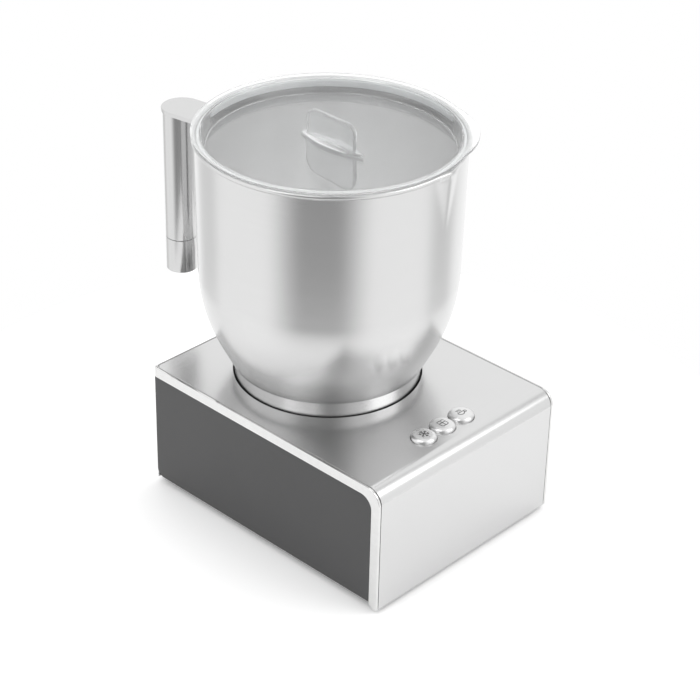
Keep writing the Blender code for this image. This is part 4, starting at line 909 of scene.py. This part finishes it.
# ------------------------------------------------------------------ whisk
def make_whisk():
    axis = (0, JUG_Y)
    post_r, flange_r = 0.0025, (spindle_high.x - spindle_low.x) / 2
    low = spindle_low.z
    spindle = [(0, spindle_high.z), (post_r, spindle_high.z, 0.0008), (post_r, low + 0.001, 0.0004),
               (flange_r, low + 0.001, 0.0003), (flange_r, low, 0.0002), (0, low)]
    piece(turned("whisk_post", rounded(spindle), centre=axis), POLISHED, "polished_steel", "jug",
          "whisk_spindle")

    knob = (bush_high.x - bush_low.x) / 2
    bore, outside = 0.0028, 0.0042
    knob_low = spindle_high.z + PIECE_GAP
    crown = bush_high.z

    def flutes(angle, radius, height):
        """Finger grooves down the knob's side."""
        return -0.0003 * (0.5 - 0.5 * math.cos(BUSH_FLUTES * angle)) if radius > knob * 0.97 else 0.0

    bush = [(0, crown), (knob * 0.5, crown, 0.0006), (knob * 0.6, crown - 0.0004, 0.0005),
            (knob, crown - 0.0004, 0.0009), (knob, knob_low + 0.0003, 0.0005), (outside, knob_low, 0.0002),
            (outside, bush_low.z, 0.0002), (bore, bush_low.z, 0.0002), (bore, knob_low), (0, knob_low)]
    piece(turned("whisk_knob", rounded(bush), centre=axis, steps=144, push=flutes), BLACK,
          "black_plastic", "whisk_carrier", "whisk_bush")

    foot, top = hub_low.z, hub_high.z
    sleeve_in, sleeve_out = outside + PIECE_GAP, outside + PIECE_GAP + 0.002
    disc_r, disc = 0.014, foot + 0.0045
    pocket_in, pocket_out = sleeve_out + PIECE_GAP, sleeve_out + 0.0049
    pocket = foot + 0.0034
    hub = turned("whisk_rotor", rounded(
        [(sleeve_out, top, 0.0005), (sleeve_out, disc, 0.0008), (disc_r, disc, 0.0006),
         (disc_r, foot, 0.0003), (pocket_out, foot, 0.0002), (pocket_out, pocket),
         (pocket_in, pocket), (pocket_in, foot), (sleeve_in, foot), (sleeve_in, top, 0.0002)],
        closed=True), closed=True, centre=axis, steps=96)
    ring_r = (coil_high.x - coil_low.x) / 2
    tube = (coil_high.z - coil_low.z) / 2
    ring_z = (coil_high.z + coil_low.z) / 2
    spokes = []
    for i in range(3):
        spoke = block("add_spoke", (disc_r * 0.9, -0.0015, ring_z - 0.0011),
                      (ring_r - 2 * tube - PIECE_GAP, 0.0015, ring_z + 0.0011), 0.0004)
        spokes.append(turn(spoke, Matrix.Translation((0, JUG_Y, 0))
                           @ Matrix.Rotation(2 * math.pi * i / 3, 4, "Z")))
    join(hub, *spokes)
    piece(hub, BLACK, "black_plastic", "whisk", "whisk_hub", smooth=40)

    low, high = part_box("whisk_magnet")
    outer = (high.x - low.x) / 2
    section = [(outer, high.z, 0.0002), (outer, low.z, 0.0003), (sleeve_out + 0.0006, low.z, 0.0003),
               (sleeve_out + 0.0006, high.z, 0.0002)]
    piece(turned("whisk_ring_magnet", rounded(section, closed=True), closed=True, centre=axis),
          MAGNET, "magnet", "whisk", "whisk_magnet")
    piece(spring_ring("whisk_spring", ring_r - tube, tube - WIRE_RADIUS, ring_z, axis), POLISHED,
          "polished_steel", "whisk", "whisk_coil")


def spring_ring(name, ring_radius, tube_radius, height, axis):
    """Round wire wound as a coil that closes on itself in a ring."""
    work = bmesh.new()
    count = WIRE_TURNS * 16

    def spot(step):
        around = 2 * math.pi * step / count
        wound = WIRE_TURNS * around
        reach = ring_radius + tube_radius * math.cos(wound)
        return Vector((axis[0] + reach * math.cos(around), axis[1] + reach * math.sin(around),
                       height + tube_radius * math.sin(wound)))

    rows = []
    for i in range(count):
        here, along = spot(i), (spot(i + 1) - spot(i - 1)).normalized()
        around = 2 * math.pi * i / count
        centre = Vector((axis[0] + ring_radius * math.cos(around),
                         axis[1] + ring_radius * math.sin(around), height))
        outward = (here - centre).normalized()
        sideways = along.cross(outward).normalized()
        rows.append([work.verts.new(here + WIRE_RADIUS * (outward * math.cos(a) + sideways * math.sin(a)))
                     for a in [2 * math.pi * k / 8 for k in range(8)]])
    for near, far in zip(rows, rows[1:] + rows[:1]):
        for k in range(8):
            work.faces.new([near[k], near[(k + 1) % 8], far[(k + 1) % 8], far[k]])
    return object_from(name, work)


# ------------------------------------------------------------------ CAD nodes that stay
KEPT = {
    "base_plate": BLACK, "coil_carrier": BLACK, "fan_frame": BLACK, "fan_rotor": BLACK,
    "tact_switch_left": BLACK, "tact_switch_middle": BLACK, "tact_switch_right": BLACK,
    "induction_coil": COPPER, "filter_choke": COPPER, "motor_bracket": ALUMINIUM,
    "rotor_disc": ALUMINIUM, "heat_sink": ALUMINIUM, "motor_can": ZINC, "motor_shaft": ZINC,
    "sensor_spring": ZINC, "power_board": BOARD, "button_board": BOARD, "power_capacitor": SLEEVE,
    **{f"ferrite_bar_{i}": FERRITE for i in range(1, 5)},
    **{f"rotor_magnet_{i}": MAGNET for i in range(1, 5)},
}


def finish_cad_nodes():
    for name, finish in KEPT.items():
        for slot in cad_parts[name].material_slots:
            slot.material = finish


# ------------------------------------------------------------------ floor, light and camera
FLOOR_RADIUS = 0.21
CAMERA_PLACE = (-0.574678, FRONT_Y - 0.468377, 0.552735)
CAMERA_AZIMUTH, CAMERA_ELEVATION, CAMERA_ROLL = (math.radians(a) for a in (-46.81, 31.15, 1.346))
CAMERA_LENS = 107.88
MIDDLE_HEIGHT = 0.09      # of the whole object, where the lights point
TOWARD_CAMERA = -136.6    # azimuth in degrees, from +X
# Gaps in the room's light: offset from the camera, half width of the darkest part, half width
# of the whole gap (all in degrees), and how much of the light is missing.
ROOM_GAPS = ((-8, 12, 50, 0.68), (112, 6, 26, 0.3), (-128, 8, 24, 0.25))
ROOM_STRENGTH = 1.2
BELOW_ONE = 0.99999       # keeps the arccosine off the edge of its range


def make_floor():
    floor = turned("floor", [(0, 0), (FLOOR_RADIUS, 0), (FLOOR_RADIUS, -0.004), (0, -0.004)], steps=180)
    made, tree, shader = new_material("floor_paper")
    cloud = noise(tree, coordinates(tree), (8, 8, 8))
    tree.links.new(blend(tree, cloud, (0.96, 0.96, 0.96), (0.97, 0.97, 0.97)),
                   shader.inputs["Base Color"])
    shader.inputs["Emission Color"].default_value = (1.0, 1.0, 1.0, 1.0)
    shader.inputs["Emission Strength"].default_value = 0.14
    shader.inputs["Roughness"].default_value = 0.9
    shader.inputs["Specular IOR Level"].default_value = 0.1
    floor.data.materials.append(made)


def make_world():
    """White room with three darker gaps between the soft boxes, which shade the steel in bands."""
    world = bpy.data.worlds.new("studio")
    bpy.context.scene.world = world
    world.use_nodes = True
    tree = world.node_tree
    tree.nodes.clear()
    direction = add(tree, "ShaderNodeSeparateXYZ",
                    {0: add(tree, "ShaderNodeTexCoord").outputs["Generated"]})
    azimuth = maths(tree, "ARCTAN2", direction.outputs["Y"], direction.outputs["X"])
    light = None
    for offset, inner, outer, depth in ROOM_GAPS:
        centre = math.radians(TOWARD_CAMERA + offset)
        turned_by = maths(tree, "SUBTRACT", azimuth, centre)
        level = maths(tree, "MULTIPLY", maths(tree, "COSINE", turned_by), BELOW_ONE)
        away = maths(tree, "ARCCOSINE", level)
        share = add(tree, "ShaderNodeMapRange", {
            "Value": away, "From Min": math.radians(inner), "From Max": math.radians(outer),
            "To Min": 1 - depth, "To Max": 1.0}, interpolation_type="SMOOTHSTEP").outputs[0]
        light = share if light is None else maths(tree, "MULTIPLY", light, share)
    seen = add(tree, "ShaderNodeLightPath").outputs["Is Camera Ray"]
    room = add(tree, "ShaderNodeBackground", {"Color": (1, 1, 1, 1),
                                              "Strength": maths(tree, "MULTIPLY", light, ROOM_STRENGTH)})
    backdrop = add(tree, "ShaderNodeBackground", {"Color": (1, 1, 1, 1), "Strength": 1.0})
    mixed = add(tree, "ShaderNodeMixShader", {0: seen, 1: room.outputs[0], 2: backdrop.outputs[0]})
    output = add(tree, "ShaderNodeOutputWorld")
    tree.links.new(mixed.outputs[0], output.inputs["Surface"])


def soft_box(name, azimuth, elevation, distance, size, power):
    """Square area light that faces the middle of the object."""
    light = bpy.data.lights.new(name, "AREA")
    light.shape = "SQUARE"
    light.size = size
    light.energy = power
    obj = bpy.data.objects.new(name, light)
    bpy.context.scene.collection.objects.link(obj)
    a, e = math.radians(azimuth), math.radians(elevation)
    away = Vector((math.cos(e) * math.cos(a), math.cos(e) * math.sin(a), math.sin(e)))
    obj.location = Vector((0, 0, MIDDLE_HEIGHT)) + away * distance
    obj.rotation_euler = away.to_track_quat("Z", "Y").to_euler()


def make_camera():
    camera = bpy.data.cameras.new("camera")
    camera.lens = CAMERA_LENS
    camera.sensor_width = 36.0
    camera.clip_start = 0.01
    obj = bpy.data.objects.new("camera", camera)
    obj.matrix_world = (Matrix.Translation(CAMERA_PLACE) @ Matrix.Rotation(CAMERA_AZIMUTH, 4, "Z")
                        @ Matrix.Rotation(math.pi / 2 - CAMERA_ELEVATION, 4, "X")
                        @ Matrix.Rotation(CAMERA_ROLL, 4, "Z"))
    bpy.context.scene.collection.objects.link(obj)
    bpy.context.scene.camera = obj


make_housing()
make_sides()
make_feet()
make_screws()
make_gland()
make_well()
make_sensor()
make_buttons()
make_jug()
make_handle()
make_lid()
make_whisk()
finish_cad_nodes()
make_floor()
make_world()
soft_box("key_light", azimuth=-170, elevation=55, distance=1.3, size=0.8, power=3)
soft_box("fill_light", azimuth=-60, elevation=40, distance=1.4, size=0.8, power=3.5)
make_camera()
bpy.context.scene.view_settings.view_transform = "Standard"
